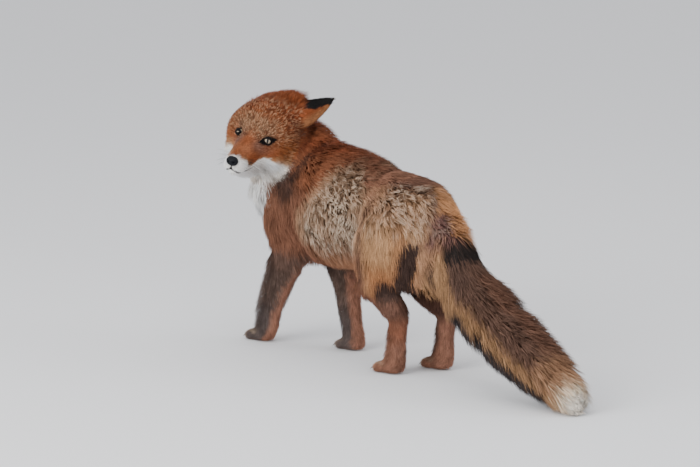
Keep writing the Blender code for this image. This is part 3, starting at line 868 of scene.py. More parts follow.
def paintSkin(mesh):
    # darker than the coat over it, and darker still under the speckled brow: painted shade, so that depth
    # shows between the tufts
    colour = markingsAndShade(survey["points"], survey["normals"], survey["share"])
    pale = step(0.45, 0.70, colour.mean(1))
    speckled = browOf(inHead(survey["points"])) * survey["share"]["head"]
    paint(mesh, "coat", colour * (0.55 + 0.30 * pale - 0.15 * np.clip(speckled, 0, 1))[:, None])


def unwrapSkin(thing):
    bpy.ops.object.select_all(action="DESELECT")
    thing.data.uv_layers.new(name="OFBake")
    thing.select_set(True)
    bpy.context.view_layer.objects.active = thing
    bpy.ops.object.mode_set(mode="EDIT")
    bpy.ops.mesh.select_all(action="SELECT")
    bpy.ops.uv.smart_project(angle_limit=math.radians(66), island_margin=0.002)
    bpy.ops.object.mode_set(mode="OBJECT")
    thing.select_set(False)


paintSkin(skin.data)
unwrapSkin(skin)

# The coat: tufts sown over the skin, grown along its lie, and made into pieces.
coatSettings = {
    "perSquareMetre": 250000,
    "shortUnder": 0.0185,
    "clumpEvery": 12,
    "pieceTufts": {"long": 21000, "short": 64000},
    "patch": 0.0014,
    "lean": 0.55,
    "outside": 0.004,
    "ground": 0.0008,
    "rootSink": 0.0006,
    "seed": 7,
}
coatDraw = np.random.default_rng(coatSettings["seed"])


def bareness(local):
    # 1 where no tufts grow: eyes and their rims, nose, mouth line
    folded = fold(local)
    y, z = local[:, 1], local[:, 2]
    along, across, near = aroundEye(folded)
    narrow = step(0.0, -0.01, local[:, 0])
    wide, high = 0.0098 - 0.0014 * narrow, 0.0066 - 0.0018 * narrow
    rim = step(1.08, 0.96, np.hypot(along / wide, across / high)) * near
    noseAway = (local - np.array(pose["nose"])) / np.array((0.0112, 0.0100, 0.0088))
    gap = 0.0016 + 0.0014 * step(-0.055, -0.070, y)
    onLip = np.abs(z - np.interp(y, mouth["y"], mouth["z"])) < gap
    onLip &= (y > -0.085) & (y < 0.004) & (folded[:, 0] < 0.04)
    philtrum = (folded[:, 0] < 0.0012) & (y < -0.06) & (z < -0.030) & (z > -0.048)
    return np.maximum(rim, (np.linalg.norm(noseAway, axis=1) < 1.0) | onLip | philtrum)


def buried(roots):
    # ear roots that lie inside the head; the two ear shells come last in the mesh and are left out
    mesh = skin.data
    shells = 2 * (earSettings["rows"] + 1) * 2 * (earSettings["cells"] + 1)
    last = len(mesh.vertices) - shells
    faces = [tuple(face.vertices) for face in mesh.polygons if max(face.vertices) < last]
    tree = BVHTree.FromPolygons([vertex.co.copy() for vertex in mesh.vertices], faces)
    run = Vector((0.31, 0.47, 0.83)).normalized()
    inside = np.zeros(len(roots["at"]), bool)
    for i in np.flatnonzero(roots["share"]["ear"] > 0.3):
        hits, start = 0, Vector(roots["at"][i])
        while hits < 9:
            hit = tree.ray_cast(start, run)
            if hit[0] is None:
                break
            hits += 1
            start = hit[0] + run * 1e-5
        inside[i] = hits % 2 == 1
    return inside


def sowRoots():
    mesh, points = skin.data, survey["points"]
    mesh.calc_loop_triangles()
    corners = readRows(mesh.loop_triangles, "vertices", 3, np.int32)
    loops = readRows(mesh.loop_triangles, "loops", 3, np.int32)
    uvs = readRows(mesh.uv_layers["OFBake"].data, "uv", 2)[loops]
    a, b, c = (points[corners[:, k]] for k in range(3))
    area = 0.5 * np.linalg.norm(np.cross(b - a, c - a), axis=1)
    want = area * survey["form"][corners, 2].mean(1) * coatSettings["perSquareMetre"]
    cumulative = np.cumsum(want)
    count = int(cumulative[-1])
    spots = (np.arange(count) + coatDraw.random(count)) * cumulative[-1] / count
    face = np.minimum(np.searchsorted(cumulative, spots), len(corners) - 1)
    u, v = coatDraw.random(count), coatDraw.random(count)
    flip = u + v > 1
    u[flip], v[flip] = 1 - u[flip], 1 - v[flip]
    weights = np.column_stack([1 - u - v, u, v])

    def blend(values):
        return np.einsum("ij,ij...->i...", weights, values[corners[face]])

    roots = {
        "at": blend(points), "normal": unit(blend(survey["normals"])), "room": blend(survey["room"]),
        "form": blend(survey["form"]), "uv": np.einsum("ij,ijk->ik", weights, uvs[face]),
        "share": {kind: blend(rows) for kind, rows in survey["share"].items()},
    }
    roots["way"] = flatten(blend(survey["way"]), roots["normal"])
    keep = bareness(inHead(roots["at"])) < coatDraw.random(count)
    keep &= roots["at"][:, 2] > 0.0012
    keep &= ~buried(roots)
    share = {kind: rows[keep] for kind, rows in roots.pop("share").items()}
    return {"share": share, **{key: rows[keep] for key, rows in roots.items()}}


def turnAbout(way, normal, angle):
    return way * np.cos(angle)[:, None] + np.cross(normal, way) * np.sin(angle)[:, None]


def frostOf(body):
    # the wavy, frosted parts: the left flank behind the shoulder, the loin, and beside the tail
    x, y, z = body.T
    patchy = 0.7 + 0.3 * ripple(body, 0.030, 31)
    top = frostTop(y)
    front, rear = y + 0.35 * np.clip(0.335 - z, 0, 0.05), y + 0.55 * np.clip(z - 0.290, 0, 0.06)
    frost = step(-0.210, -0.180, front) * step(-0.055, -0.082, rear)
    frost = frost * step(top + 0.006, top - 0.012, z) * step(0.195, 0.240, z)
    loin = 0.70 * step(-0.045, -0.022, y) * step(0.085, 0.055, y)
    frost += loin * step(0.344, 0.328, z) * step(0.250, 0.290, z)
    seat = between(y, 0.084, 0.112, 0.006) * step(0.036, 0.022, x - 0.22 * (0.300 - z))
    seat = seat * step(-0.002, 0.010, x)
    frost += 0.55 * seat * between(z, 0.262, 0.322, 0.010)
    return np.clip(frost * patchy, 0, 1) * step(-0.02, 0.02, x)


def lengthOf(roots):
    # how long the tufts are, and how wide: the head's own lengths grow towards the ruff
    local, isHead = inHead(roots["at"]), np.clip(roots["share"]["head"], 0, 1)
    x, y, z = fold(local).T
    ruff = ruffMask(x, y, z)
    low = step(0.035, -0.010, z)
    chin = step(-0.040, -0.060, z) * step(-0.045, -0.010, y) * (1 - 0.7 * step(0.018, 0.036, x))
    headLength = 0.0060 + 0.006 * step(-0.01, 0.05, y) + (0.009 + 0.013 * low) * step(0.045, 0.10, y)
    headLength += 0.001 * ruff + 0.017 * chin
    headLength *= 1 - 0.38 * step(-0.040, -0.065, z) * step(0.022, 0.042, x)
    headLength *= 1 - 0.30 * browOf(local)
    length = roots["form"][:, 0] * (1 - isHead) + headLength * isHead
    seat = step(0.055, 0.085, inBody(roots["at"])[:, 1]) * roots["share"]["rump"]
    return length * (1 - 0.35 * seat), roots["form"][:, 1] + 0.0006 * isHead * ruff


def liftOf(roots):
    # where the fur stands out further than the solids do, and where it lies closer
    share, normal = roots["share"], roots["normal"]
    onHead = np.clip(share["head"] + share["lower_jaw"], 0, 1)
    x, y, z = inHead(roots["at"]).T
    high = step(0.015, 0.040, z)
    lift = 0.003 * high * step(0.090, 0.110, y)
    lift += 0.018 * high * step(-0.014, 0.020, x) * step(0.052, 0.036, x) * step(0.074, 0.098, y)
    lift -= 0.0050 * between(y, 0.020, 0.088, 0.012) * step(0.028, 0.046, z)
    under = step(-0.040, -0.056, z) * step(0.040, 0.020, np.abs(x))
    lift += under * (0.010 * step(-0.055, -0.020, y) + 0.005 * step(-0.025, -0.005, y))
    # throat, withers and loin
    x, y, z = inBody(roots["at"]).T
    onTop = step(0.3, 0.7, normal[:, 2]) * (1 - onHead)
    total = onHead * lift + 0.008 * (step(0.293, 0.312, z) * step(-0.285, -0.305, y) * share["neck"])
    total += 0.009 * onTop * between(y, -0.245, -0.125, 0.020) * step(0.30, 0.33, z)
    total -= 0.006 * onTop * between(y, -0.098, 0.030, 0.015) * step(0.33, 0.35, z)
    # tail and seat
    total += 0.011 * share["tail"] * step(0.10, 0.55, normal[:, 2] + 0.4 * normal[:, 1]) * step(0.11, 0.17, y)
    total += 0.014 * step(0.012, -0.006, x) * between(y, 0.070, 0.150, 0.015) * step(0.24, 0.27, z)
    # forelegs and gaskins are fuller in front
    front = step(0.2, 0.8, -normal[:, 1])
    total += share["foreleg"] * front * (0.004 + 0.006 * np.maximum(step(0.0, 0.02, x), step(0.12, 0.16, z)))
    return total + 0.004 * (share["gaskin"] + share["hock"]) * front


def chooseClumps(at, onHead, frost):
    # every tuft follows the nearest leader; the frosted flank has more of them
    chance = (1 + 2.0 * frost + 1.6 * onHead * (1 - 0.25 * browOf(inHead(at)))) / coatSettings["clumpEvery"]
    leaders = np.flatnonzero(coatDraw.random(len(at)) < chance)
    tree = KDTree(len(leaders))
    for k, leader in enumerate(leaders):
        tree.insert(at[leader], k)
    tree.balance()
    return leaders, np.array([tree.find(Vector(point))[1] for point in at])


def keepInBox(root, tip):
    # tufts that would leave the solids' box are shortened
    low, high = np.array(cadBox[0]) - coatSettings["outside"], np.array(cadBox[1]) + coatSettings["outside"]
    low[2] = coatSettings["ground"]
    run = tip - root
    room = np.where(run > 0, high - root, root - low)
    share = np.where(np.abs(run) > 1e-6, room / np.maximum(np.abs(run), 1e-6), 9.0).min(1)
    short = share < 1
    share = np.clip(share, 0.15, 1.0)
    share[short] *= coatDraw.uniform(0.75, 1.0, short.sum())
    return root + run * share[:, None]


def growTufts(roots):
    at, normal = roots["at"], roots["normal"]
    count = len(at)
    local, onHead = inHead(at), np.clip(roots["share"]["head"], 0, 1)
    frost = frostOf(inBody(at))
    brow = browOf(local) * onHead
    cheek = onHead * step(0.014, 0.040, local[:, 1]) * step(0.020, 0.000, local[:, 2]) * (1 - brow)
    leaders, clump = chooseClumps(at, onHead, frost)
    length, width = lengthOf(roots)
    lift = liftOf(roots)
    length = np.maximum(length * coatDraw.uniform(0.70, 1.15, count), 1.15 * roots["room"])
    length = length * (1 - 0.35 * frost) + 0.8 * np.maximum(lift, 0)
    width = width * coatDraw.uniform(0.7, 1.25, count)
    rise = np.maximum(roots["room"] + lift, 0.0010) * coatDraw.uniform(0.55, 1.0, count) ** 0.8
    swing = 0.12 * coatDraw.normal(size=count) + 0.12 * ripple(at, 0.035, 21)
    clumpSwing = coatDraw.normal(size=len(leaders))
    swing += (0.07 + 0.42 * frost) * clumpSwing[clump] + frost * 0.40 * ripple(at, 0.020, 22)
    way = turnAbout(roots["way"], normal, swing)
    along = np.sqrt(np.maximum(length**2 - rise**2, (0.45 * length) ** 2))
    tip = at + way * along[:, None] + normal * rise[:, None]
    # tufts lean together at their tips
    pull = roots["form"][:, 3] * coatDraw.uniform(0.6, 1.2, count) + 0.40 * frost
    pull += 0.25 * np.maximum(brow, cheek)
    lean = tip[leaders[clump]] - tip
    pull *= step(0.9, 0.5, np.linalg.norm(lean, axis=1) / length)
    tip = keepInBox(at, tip + lean * pull[:, None])
    middle = at + (tip - at) * 0.45 + normal * (0.20 * rise)[:, None]
    middle = 0.2 * middle + 0.8 * (at + way * (0.42 * along)[:, None] + normal * (0.66 * rise)[:, None])
    return {
        "root": at - normal * coatSettings["rootSink"], "middle": keepInBox(at, middle), "tip": tip,
        "side": unit(np.cross(way, normal)), "normal": normal, "width": width, "length": length,
        "clump": clump, "frost": frost, "brow": brow, "cheek": cheek, "uv": roots["uv"],
    }


def colourTufts(roots, tufts):
    # root, middle and tip colours: darker at the skin, partly the hair's own darker base and partly painted
    # shade deep in the coat, banded where the coat is grizzled
    at, share, clump = roots["at"], roots["share"], tufts["clump"]
    frost, brow = tufts["frost"], tufts["brow"]
    speckled = np.maximum(brow, tufts["cheek"])
    count, clumps = len(at), clump.max() + 1
    # a tuft takes its colour from a place between its middle and its tip
    reach = tufts["tip"] - at
    reach -= roots["normal"] * (reach * roots["normal"]).sum(1)[:, None]
    isHead = np.clip(share["head"] + 0.5 * share["muzzle"], 0, 1)
    astray = 0.15 * tufts["length"] * (1 - 0.6 * isHead) * coatDraw.normal(size=count)
    place = at + reach * coatDraw.uniform(0.42, 0.80, count)[:, None] + tufts["side"] * astray[:, None]
    base = markingsAndShade(place, roots["normal"], share)
    pale = step(0.45, 0.70, base.mean(1))
    grizzle = 0.10 + 0.38 * brow + 0.20 * isHead + 0.42 * tufts["cheek"] + 0.28 * share["tail"]
    grizzle = (grizzle + 0.10 * share["trunk"]) * (1 - pale)
    clumpTone = coatDraw.normal(size=clumps)[clump]
    tone = np.exp(0.12 * coatDraw.normal(size=count) + (0.10 + 0.08 * brow) * clumpTone * (1 - 0.7 * pale))
    base = base * tone[:, None]
    together = 0.5 + 0.32 * speckled
    draw = (1 - together) * coatDraw.random(count) + together * coatDraw.random(clumps)[clump]
    dark = draw < 0.20 + 0.30 * grizzle
    light = (draw > 0.85 - 0.35 * grizzle) * step(0.035, 0.085, base.mean(1))
    # painted shade: roots and middles darkened, most of all in the speckled brow, so that the gaps between
    # tufts read dark
    root = base * (0.50 + 0.35 * pale - 0.26 * brow)[:, None]
    middle = base * (0.90 - 0.20 * brow)[:, None]
    tip = base * (1.15 + 0.10 * brow)[:, None]
    fade = 1 - (0.75 * np.clip(grizzle + 0.15, 0, 1))[:, None]
    middle[dark] *= 0.5 + 0.5 * fade[dark]
    tip[dark] *= fade[dark]
    # single dark hairs show through the cheek's white and gold
    y, z = inHead(at)[:, 1:].T
    through = isHead * step(0.005, 0.040, y) * step(0.045, 0.010, z)
    through = through * (coatDraw.random(count) < 0.16 + 0.40 * step(0.030, 0.062, y))
    # frosted clumps are pale or dark as a whole: the dark clumps, more of them high on the loin, and the dark
    # roots are painted shade in the gaps between the locks
    clumpDraw = coatDraw.random(clumps)[clump] - 0.06 - 0.32 * step(0.308, 0.336, inBody(at)[:, 2])
    paleClump, shadedClump = frost * step(0.30, 0.42, clumpDraw), frost * step(0.42, 0.30, clumpDraw)
    root = layered(root, ("frostRootShade", 0.9 * frost))
    middle = layered(
        middle, ("bark", 0.8 * through), ("frostMiddle", 0.7 * paleClump), ("gapShadeMiddle", 0.85 * shadedClump),
    )
    tip = layered(
        tip, ("straw", light * (0.15 + 0.55 * speckled) * np.clip(1.3 * grizzle, 0, 1)),
        ("bark", 0.7 * through), ("frostTip", 0.80 * paleClump), ("gapShadeTip", 0.85 * shadedClump),
    )
    return [np.clip(rows, 0.003, 0.88) for rows in (root, middle, tip)]


# a long tuft is a spike of two stages with three sides, a short one of one stage: its faces,
# which of the three colours each point has, and where the points lie in the tuft's patch
tuftForms = {
    "long": (
        ((0, 4, 3), (0, 1, 4), (1, 5, 4), (1, 2, 5), (2, 3, 5), (2, 0, 3), (3, 4, 6), (4, 5, 6), (5, 3, 6)),
        (0, 0, 0, 1, 1, 1, 2),
        ((-1, -1), (0, -1), (1, -1), (-1, 0), (0, 0), (1, 0), (0, 1)),
    ),
    "short": (((0, 1, 3), (1, 2, 3), (2, 0, 3)), (0, 0, 0, 2), ((-1, -1), (0, -1), (1, -1), (0, 1))),
}


def meshTufts(name, tufts, colours, chosen, word):
    # each tuft has its ridge outward
    form, tones, patch = tuftForms[word]
    root, middle, tip, side, normal, uv = (
        tufts[key][chosen] for key in ("root", "middle", "tip", "side", "normal", "uv")
    )
    half = 0.5 * tufts["width"][chosen][:, None]
    ridge = normal * half * 0.75
    rings = [root - side * half, root + ridge, root + side * half]
    if word == "long":
        rings += [middle - side * half * 0.85, middle + ridge * 0.85, middle + side * half * 0.85]
    rings.append(tip)
    faces = (np.arange(len(root))[:, None, None] * len(rings) + np.array(form)).reshape(-1, 3)
    mesh = bpy.data.meshes.new(name)
    mesh.from_pydata(np.stack(rings, 1).reshape(-1, 3).tolist(), [], faces.tolist())
    paint(mesh, "coat", np.stack([colours[k][chosen] for k in tones], 1).reshape(-1, 3))
    uv = (uv[:, None, :] + np.array(patch) * coatSettings["patch"]).reshape(-1, 2)
    layer = mesh.uv_layers.new(name="OFBake")
    layer.data.foreach_set("uv", uv[faces.ravel()].astype(np.float32).ravel())
    piece = settle(linked(name, mesh), "red_coat")
    # the tufts are lit mostly as the skin under them is, so that the coat reads as soft
    lean = coatSettings["lean"]
    across = [-lean, 0, lean] * (len(rings) // 3)
    facing = [unit(normal + side * value) for value in across] + [normal]
    mesh.normals_split_custom_set_from_vertices(np.stack(facing, 1).reshape(-1, 3).tolist())
    return piece


def makeCoat():
    roots = sowRoots()
    tufts = growTufts(roots)
    colours = colourTufts(roots, tufts)
    isShort = tufts["length"] < coatSettings["shortUnder"]
    made = []
    for word, most in coatSettings["pieceTufts"].items():
        chosen = np.flatnonzero(isShort == (word == "short"))
        # pieces run from head to tail, so that each is one stretch of the coat
        chosen = chosen[np.argsort(roots["at"][chosen, 1], kind="stable")]
        pieces = max(1, math.ceil(len(chosen) / most))
        for k, part in enumerate(np.array_split(chosen, pieces)):
            made.append(meshTufts(f"coat_{word}_{k + 1}", tufts, colours, part, word))
        print("coat", word, len(chosen), "tufts in", pieces, "pieces")
    return made


coat = makeCoat()

# The eyes and their lids. Openings are angles at the eyeball's middle, in degrees.
eyeSettings = {
    "gaze": {"left": (0.36, -0.90, 0.25), "right": (0.16, -0.94, 0.27)},
    "cornea": 0.0006,
    "under": 0.0001,
    "irisHalf": 50.0,
    "openAcross": {"left": 50.0, "right": 30.0},
    "open": {"left": (21.0, 27.0), "right": (5.0, 10.0)},
    "around": 56,
}
# a lid's profile: how far out from the slit, and how high over the eyeball
lidProfile = (
    (-0.01, -0.0005), (0.0, 0.0004), (0.03, 0.0010), (0.10, 0.0014),
    (0.25, 0.0015), (0.50, 0.0013), (0.75, 0.0007), (1.0, -0.0004),
)


def eyeCentre(side):
    return Vector((side * pose["eye"][0], pose["eye"][1], pose["eye"][2]))


def makeEye(name, side):
    gaze = Vector(eyeSettings["gaze"][name]).normalized()
    radius = pose["eyeRadius"] - eyeSettings["under"]
    bpy.ops.mesh.primitive_uv_sphere_add(segments=64, ring_count=40, radius=radius)
    eye = bpy.context.object
    eye.name = "eyeball_" + name
    turn = gaze.to_track_quat("Z", "Y").to_matrix()
    right = Vector((0, 0, 1)).cross(gaze).normalized()
    up = gaze.cross(right)
    layer = eye.data.uv_layers[0]
    layer.name = "iris"
    half = math.radians(eyeSettings["irisHalf"])
    flat = []
    for vertex in eye.data.vertices:
        way = turn @ vertex.co.normalized()
        angle = way.angle(gaze)
        bulge = eyeSettings["cornea"] * float(step(1.0, 0.2, angle / (1.1 * half)))
        vertex.co = eyeCentre(side) + way * (radius + bulge)
        reach = min(angle / half, 1.9) * 0.25
        across = Vector((way.dot(right), way.dot(up)))
        across = across.normalized() * reach if across.length > 1e-6 else across
        flat.append((0.5 + across.x, 0.5 + across.y))
    for loop in eye.data.loops:
        layer.data[loop.index].uv = flat[loop.vertex_index]
    eye.data.transform(headToWorld)
    return settle(eye, "eye", "eye_" + name)


def makeLids(name, side):
    # a thin fold round the eyeball: its free edge, the roll of the lid, and where it dives in
    axis = Vector((side * eyeAxis[0], eyeAxis[1], eyeAxis[2])).normalized()
    right = Vector((0, 0, 1)).cross(axis).normalized() * side
    up = axis.cross(right) * side
    slant = Matrix.Rotation(-side * math.radians(eyeSlant), 3, axis)
    right, up = slant @ right, slant @ up
    work = bmesh.new()
    rings = []
    for t, lift in lidProfile:
        ring = []
        for k in range(eyeSettings["around"]):
            angle = 2 * math.pi * k / eyeSettings["around"]
            across, along = math.sin(angle), math.cos(angle)
            high = eyeSettings["open"][name][0 if across > 0 else 1]
            wide = eyeSettings["openAcross"][name] + (9.0 if along < 0 else 3.0) * abs(along) ** 6
            a = math.radians(wide + 34.0 * t) * along
            b = math.radians(high + 50.0 * t) * across * (1 - 0.18 * along**2)
            reach = math.hypot(a, b)
            way = axis * math.cos(reach) + (right * a + up * b) * (math.sin(reach) / reach)
            ring.append(work.verts.new(eyeCentre(side) + way * (pose["eyeRadius"] + lift)))
        rings.append(ring)
    bridgeRings(work, rings, False)
    bmesh.ops.recalc_face_normals(work, faces=work.faces)
    lids = newObject("lids_" + name, work)
    lids.data.transform(headToWorld)
    return settle(lids, "dark_skin")


eyes = [makeEye("left", 1), makeEye("right", -1)]
lids = [makeLids("left", 1), makeLids("right", -1)]
print("eyes made")

# Nose, mouth, whiskers and claws.
noseSettings = {"radii": (0.0114, 0.0088, 0.0089), "nostril": (0.0054, -0.0006), "pit": 0.0048}
lipSettings = {"steps": 40, "front": -0.060, "straight": 0.62, "grooveTop": -0.0365, "grooveRadius": 0.0011}
whiskerSettings = {"rows": 4, "perRow": 4, "length": 0.046, "radius": 0.00020, "seed": 5}
clawSettings = {"length": 0.0105, "radius": 0.0017, "drop": 0.0052, "height": 0.0088, "ahead": 0.0095}


def makeNose():
    bpy.ops.mesh.primitive_uv_sphere_add(segments=96, ring_count=64, radius=1.0)
    nose = bpy.context.object
    nose.name = "nose_pad"
    points = meshPoints(nose.data)
    square = np.sign(points) * np.abs(points) ** 0.88
    ball = square / np.maximum(np.linalg.norm(square, axis=1), 1e-6)[:, None]
    points = ball * np.array(noseSettings["radii"])
    x, y, z = points.T
    front = step(0.0, -0.004, y)
    offX = np.abs(x) - noseSettings["nostril"][0]
    offZ = z - noseSettings["nostril"][1] - 0.35 * offX
    pit = np.exp(-((offX / 0.0028) ** 2 + (offZ / 0.0021) ** 2)) * front
    slit = np.exp(-(((np.abs(x) - 0.0083) / 0.0022) ** 2 + ((z + 0.0022) / 0.0009) ** 2))
    slit = slit * step(0.004, -0.002, y)
    groove = np.exp(-((x / 0.0007) ** 2)) * step(0.002, -0.002, z) * front
    points[:, 1] += noseSettings["pit"] * pit + 0.0008 * groove
    points[:, 0] -= np.sign(x) * 0.0012 * slit
    points[:, 2] += 0.0006 * np.exp(-((offX / 0.003) ** 2)) * step(0.002, 0.006, z)
    movePoints(nose.data, (points + np.array(pose["nose"])) @ headTurnArray.T + headStart)
    return settle(nose, "dark_skin", "nose")


def tubeAlong(work, path, radii, sides):
    rings = []
    for i, point in enumerate(path):
        ahead = (path[min(i + 1, len(path) - 1)] - path[max(i - 1, 0)]).normalized()
        side = ahead.cross(Vector((0.13, 0.21, 1.0))).normalized()
        other = ahead.cross(side)
        angles = [2 * math.pi * k / sides for k in range(sides)]
        rings.append([
            work.verts.new(point + (side * math.cos(angle) + other * math.sin(angle)) * radii[i])
            for angle in angles
        ])
    bridgeRings(work, rings, True)


def skinTree():
    return BVHTree.FromObject(skin, bpy.context.evaluated_depsgraph_get())


def onSkin(tree, start, run, sink):
    hit = tree.ray_cast(headToWorld @ Vector(start), headToWorld.to_3x3() @ Vector(run), 0.15)
    return hit[0] - hit[1] * sink if hit[0] is not None else None


def makeMouth():
    tree = skinTree()
    work = bmesh.new()
    last, straight = lipSettings["steps"] - 1, lipSettings["straight"]
    for side in (1, -1):
        path = []
        for k in range(lipSettings["steps"]):
            t = k / last
            y = mouth["corner"] + (lipSettings["front"] - mouth["corner"]) * min(1, t / straight)
            z = float(np.interp(y, mouth["y"], mouth["z"]))
            angle = 90.0 * max(0.0, (t - straight) / (1 - straight))
            z += (mouth["middle"] - z) * (angle / 90) ** 2
            out = Vector((side * math.cos(math.radians(angle)), -math.sin(math.radians(angle)), 0))
            path.append(onSkin(tree, Vector((0, y, z)) + out * 0.07, -out, 0.0004 - 0.0014 * t))
        path = [spot for spot in path if spot is not None]
        swell = [float(step(0, 0.25, i / (len(path) - 1)) * 0.8 + 0.2) for i in range(len(path))]
        tubeAlong(work, path, [mouth["radius"] * value for value in swell], 8)
    top = lipSettings["grooveTop"]
    heights = [top + (mouth["middle"] - top) * k / 7 for k in range(8)]
    path = [onSkin(tree, (0, -0.13, z), (0, 1, 0), -0.0008) for z in heights]
    path = [spot for spot in path if spot is not None]
    tubeAlong(work, path, [lipSettings["grooveRadius"]] * len(path), 8)
    bmesh.ops.recalc_face_normals(work, faces=work.faces)
    return settle(newObject("lips", work), "dark_skin")


def makeWhiskers():
    tree = skinTree()
    draw = np.random.default_rng(whiskerSettings["seed"])
    work = bmesh.new()
    spots = [(row, k) for row in range(whiskerSettings["rows"]) for k in range(whiskerSettings["perRow"])]
    for side in (1, -1):
        for row, k in spots:
            y = -0.064 + 0.0075 * k + draw.uniform(-0.001, 0.001)
            z = -0.0290 - 0.0045 * row + draw.uniform(-0.0006, 0.0006)
            root = onSkin(tree, (side * 0.07, y, z), (-side, 0, 0), 0.0008)
            if root is None:
                continue
            length = whiskerSettings["length"] * draw.uniform(0.55, 1.05) * (0.6 + 0.13 * k)
            out = Vector((side * 0.78, 0.30 + 0.15 * draw.uniform(-1, 1), 0.05 - 0.12 * row)).normalized()
            fall = Vector((0, 0.30, -0.30))
            stages = [i / 8 for i in range(9)]
            path = [root + headToWorld.to_3x3() @ ((out * t + fall * t * t) * length) for t in stages]
            tubeAlong(work, path, [whiskerSettings["radius"] * (1 - 0.85 * t) for t in stages], 5)
    return settle(newObject("whiskers", work), "dark_skin")


def makeClaws():
    work = bmesh.new()
    stages = [i / 6 for i in range(7)]
    radii = [clawSettings["radius"] * (1 - 0.88 * t**1.3) for t in stages]
    for foot in feet.values():
        for place, x, y in toesOf(foot):
            path = [
                Vector((
                    x + 0.0006 * place * t,
                    y - clawSettings["ahead"] - clawSettings["length"] * t,
                    clawSettings["height"] - clawSettings["drop"] * t * t,
                ))
                for t in stages
            ]
            tubeAlong(work, path, radii, 10)
    bmesh.ops.recalc_face_normals(work, faces=work.faces)
    return settle(newObject("claws", work), "dark_skin")


nose = makeNose()
lips = makeMouth()
whiskers = makeWhiskers()
claws = makeClaws()
print("nose, mouth, whiskers and claws made")

# The finishes.
leathers = {
    # colour, roughness, cells to the metre, how strong the cells' bump is, shine
    "lidSkin": ((0.006, 0.004, 0.004), 0.60, 900.0, 0.3, 0.10),
    "nosePad": ((0.005, 0.006, 0.009), 0.42, 1500.0, 0.6, 0.14),
    "lipSkin": ((0.014, 0.011, 0.011), 0.45, 1200.0, 0.3, 0.22),
    "whiskerHair": ((0.035, 0.028, 0.024), 0.5, 600.0, 0.1, 0.22),
    "clawHorn": ((0.060, 0.050, 0.042), 0.3, 500.0, 0.2, 0.22),
}
furs = {
    # fineness, strength of the flecks, roughness, bump
    "undercoat": (900.0, 0.35, 0.9, 0.6),
    "guardHair": (700.0, 0.18, 0.68, 0.0),
}
iris = {
    "pupil": (0.062, 0.160),
    "stops": (
        (0.0, (0.20, 0.16, 0.11, 1)), (0.36, (0.33, 0.27, 0.20, 1)),
        (0.78, (0.20, 0.15, 0.10, 1)), (0.92, (0.010, 0.008, 0.006, 1)),
    ),
}


def addNode(tree, kind, inputs, **settings):
    # each input is a plain value, or the output that feeds it
    node = tree.nodes.new("ShaderNode" + kind)
    for key, value in settings.items():
        setattr(node, key, value)
    feed(tree, node, inputs)
    return node


def feed(tree, node, inputs):
    for key, value in inputs.items():
        if isinstance(value, bpy.types.NodeSocket):
            tree.links.new(value, node.inputs[key])
        else:
            node.inputs[key].default_value = value


def hairGroup():
    # fine flecks along Object coordinates: they tone a colour and give a height
    group = bpy.data.node_groups.new("hairFlecks", "ShaderNodeTree")
    wanted = (("Color", "Colour", (0.5, 0.5, 0.5, 1)), ("Float", "Scale", 300.0), ("Float", "Strength", 0.3))
    for kind, label, value in wanted:
        socket = group.interface.new_socket(label, in_out="INPUT", socket_type="NodeSocket" + kind)
        socket.default_value = value
    for kind, label in (("Color", "Colour"), ("Float", "Height")):
        group.interface.new_socket(label, in_out="OUTPUT", socket_type="NodeSocket" + kind)
    given, result = group.nodes.new("NodeGroupInput").outputs, group.nodes.new("NodeGroupOutput")
    place = addNode(group, "TexCoord", {})
    fleck = addNode(
        group, "TexNoise", {"Detail": 3.0, "Vector": place.outputs["Object"], "Scale": given["Scale"]},
    )
    limits = {"From Min": 0.3, "From Max": 0.7, "To Min": -1.0, "To Max": 1.0}
    span = addNode(group, "MapRange", {"Value": fleck.outputs["Fac"], **limits})
    spread = {0: span.outputs["Result"], 1: given["Strength"], 2: 1.0}
    amount = addNode(group, "Math", spread, operation="MULTIPLY_ADD")
    toned = {0: given["Colour"], "Scale": amount.outputs["Value"]}
    tone = addNode(group, "VectorMath", toned, operation="SCALE")
    feed(group, result, {"Colour": tone.outputs["Vector"], "Height": fleck.outputs["Fac"]})
    return group


hairFlecks = hairGroup()


def newMaterial(name):
    made = bpy.data.materials.new(name)
    made.use_nodes = True
    return made, made.node_tree, made.node_tree.nodes["Principled BSDF"]


def furMaterial(name):
    made, tree, shader = newMaterial(name)
    scale, strength, roughness, bumpStrength = furs[name]
    colour = addNode(tree, "Attribute", {}, attribute_name="coat")
    flecks = addNode(tree, "Group", {}, node_tree=hairFlecks)
    feed(tree, flecks, {"Scale": scale, "Strength": strength, "Colour": colour.outputs["Color"]})
    feed(tree, shader, {
        "Base Color": flecks.outputs["Colour"], "Roughness": roughness, "Specular IOR Level": 0.10,
    })
    if bumpStrength:
        relief = {"Strength": bumpStrength, "Distance": 0.001, "Height": flecks.outputs["Height"]}
        feed(tree, shader, {"Normal": addNode(tree, "Bump", relief).outputs["Normal"]})
    return made


def leatherMaterial(name):
    made, tree, shader = newMaterial(name)
    colour, roughness, cell, strength, shine = leathers[name]
    place = addNode(tree, "TexCoord", {})
    cells = addNode(tree, "TexVoronoi", {"Scale": cell, "Vector": place.outputs["Object"]})
    cells = cells.outputs["Distance"]
    tones = {"A": (*[c * 0.5 for c in colour], 1), "B": (*colour, 1), "Factor": cells}
    tone = addNode(tree, "Mix", tones, data_type="RGBA")
    relief = addNode(tree, "Bump", {"Strength": strength, "Distance": 0.0004, "Height": cells})
    feed(tree, shader, {
        "Base Color": tone.outputs["Result"], "Normal": relief.outputs["Normal"],
        "Roughness": roughness, "Specular IOR Level": shine,
    })
    return made


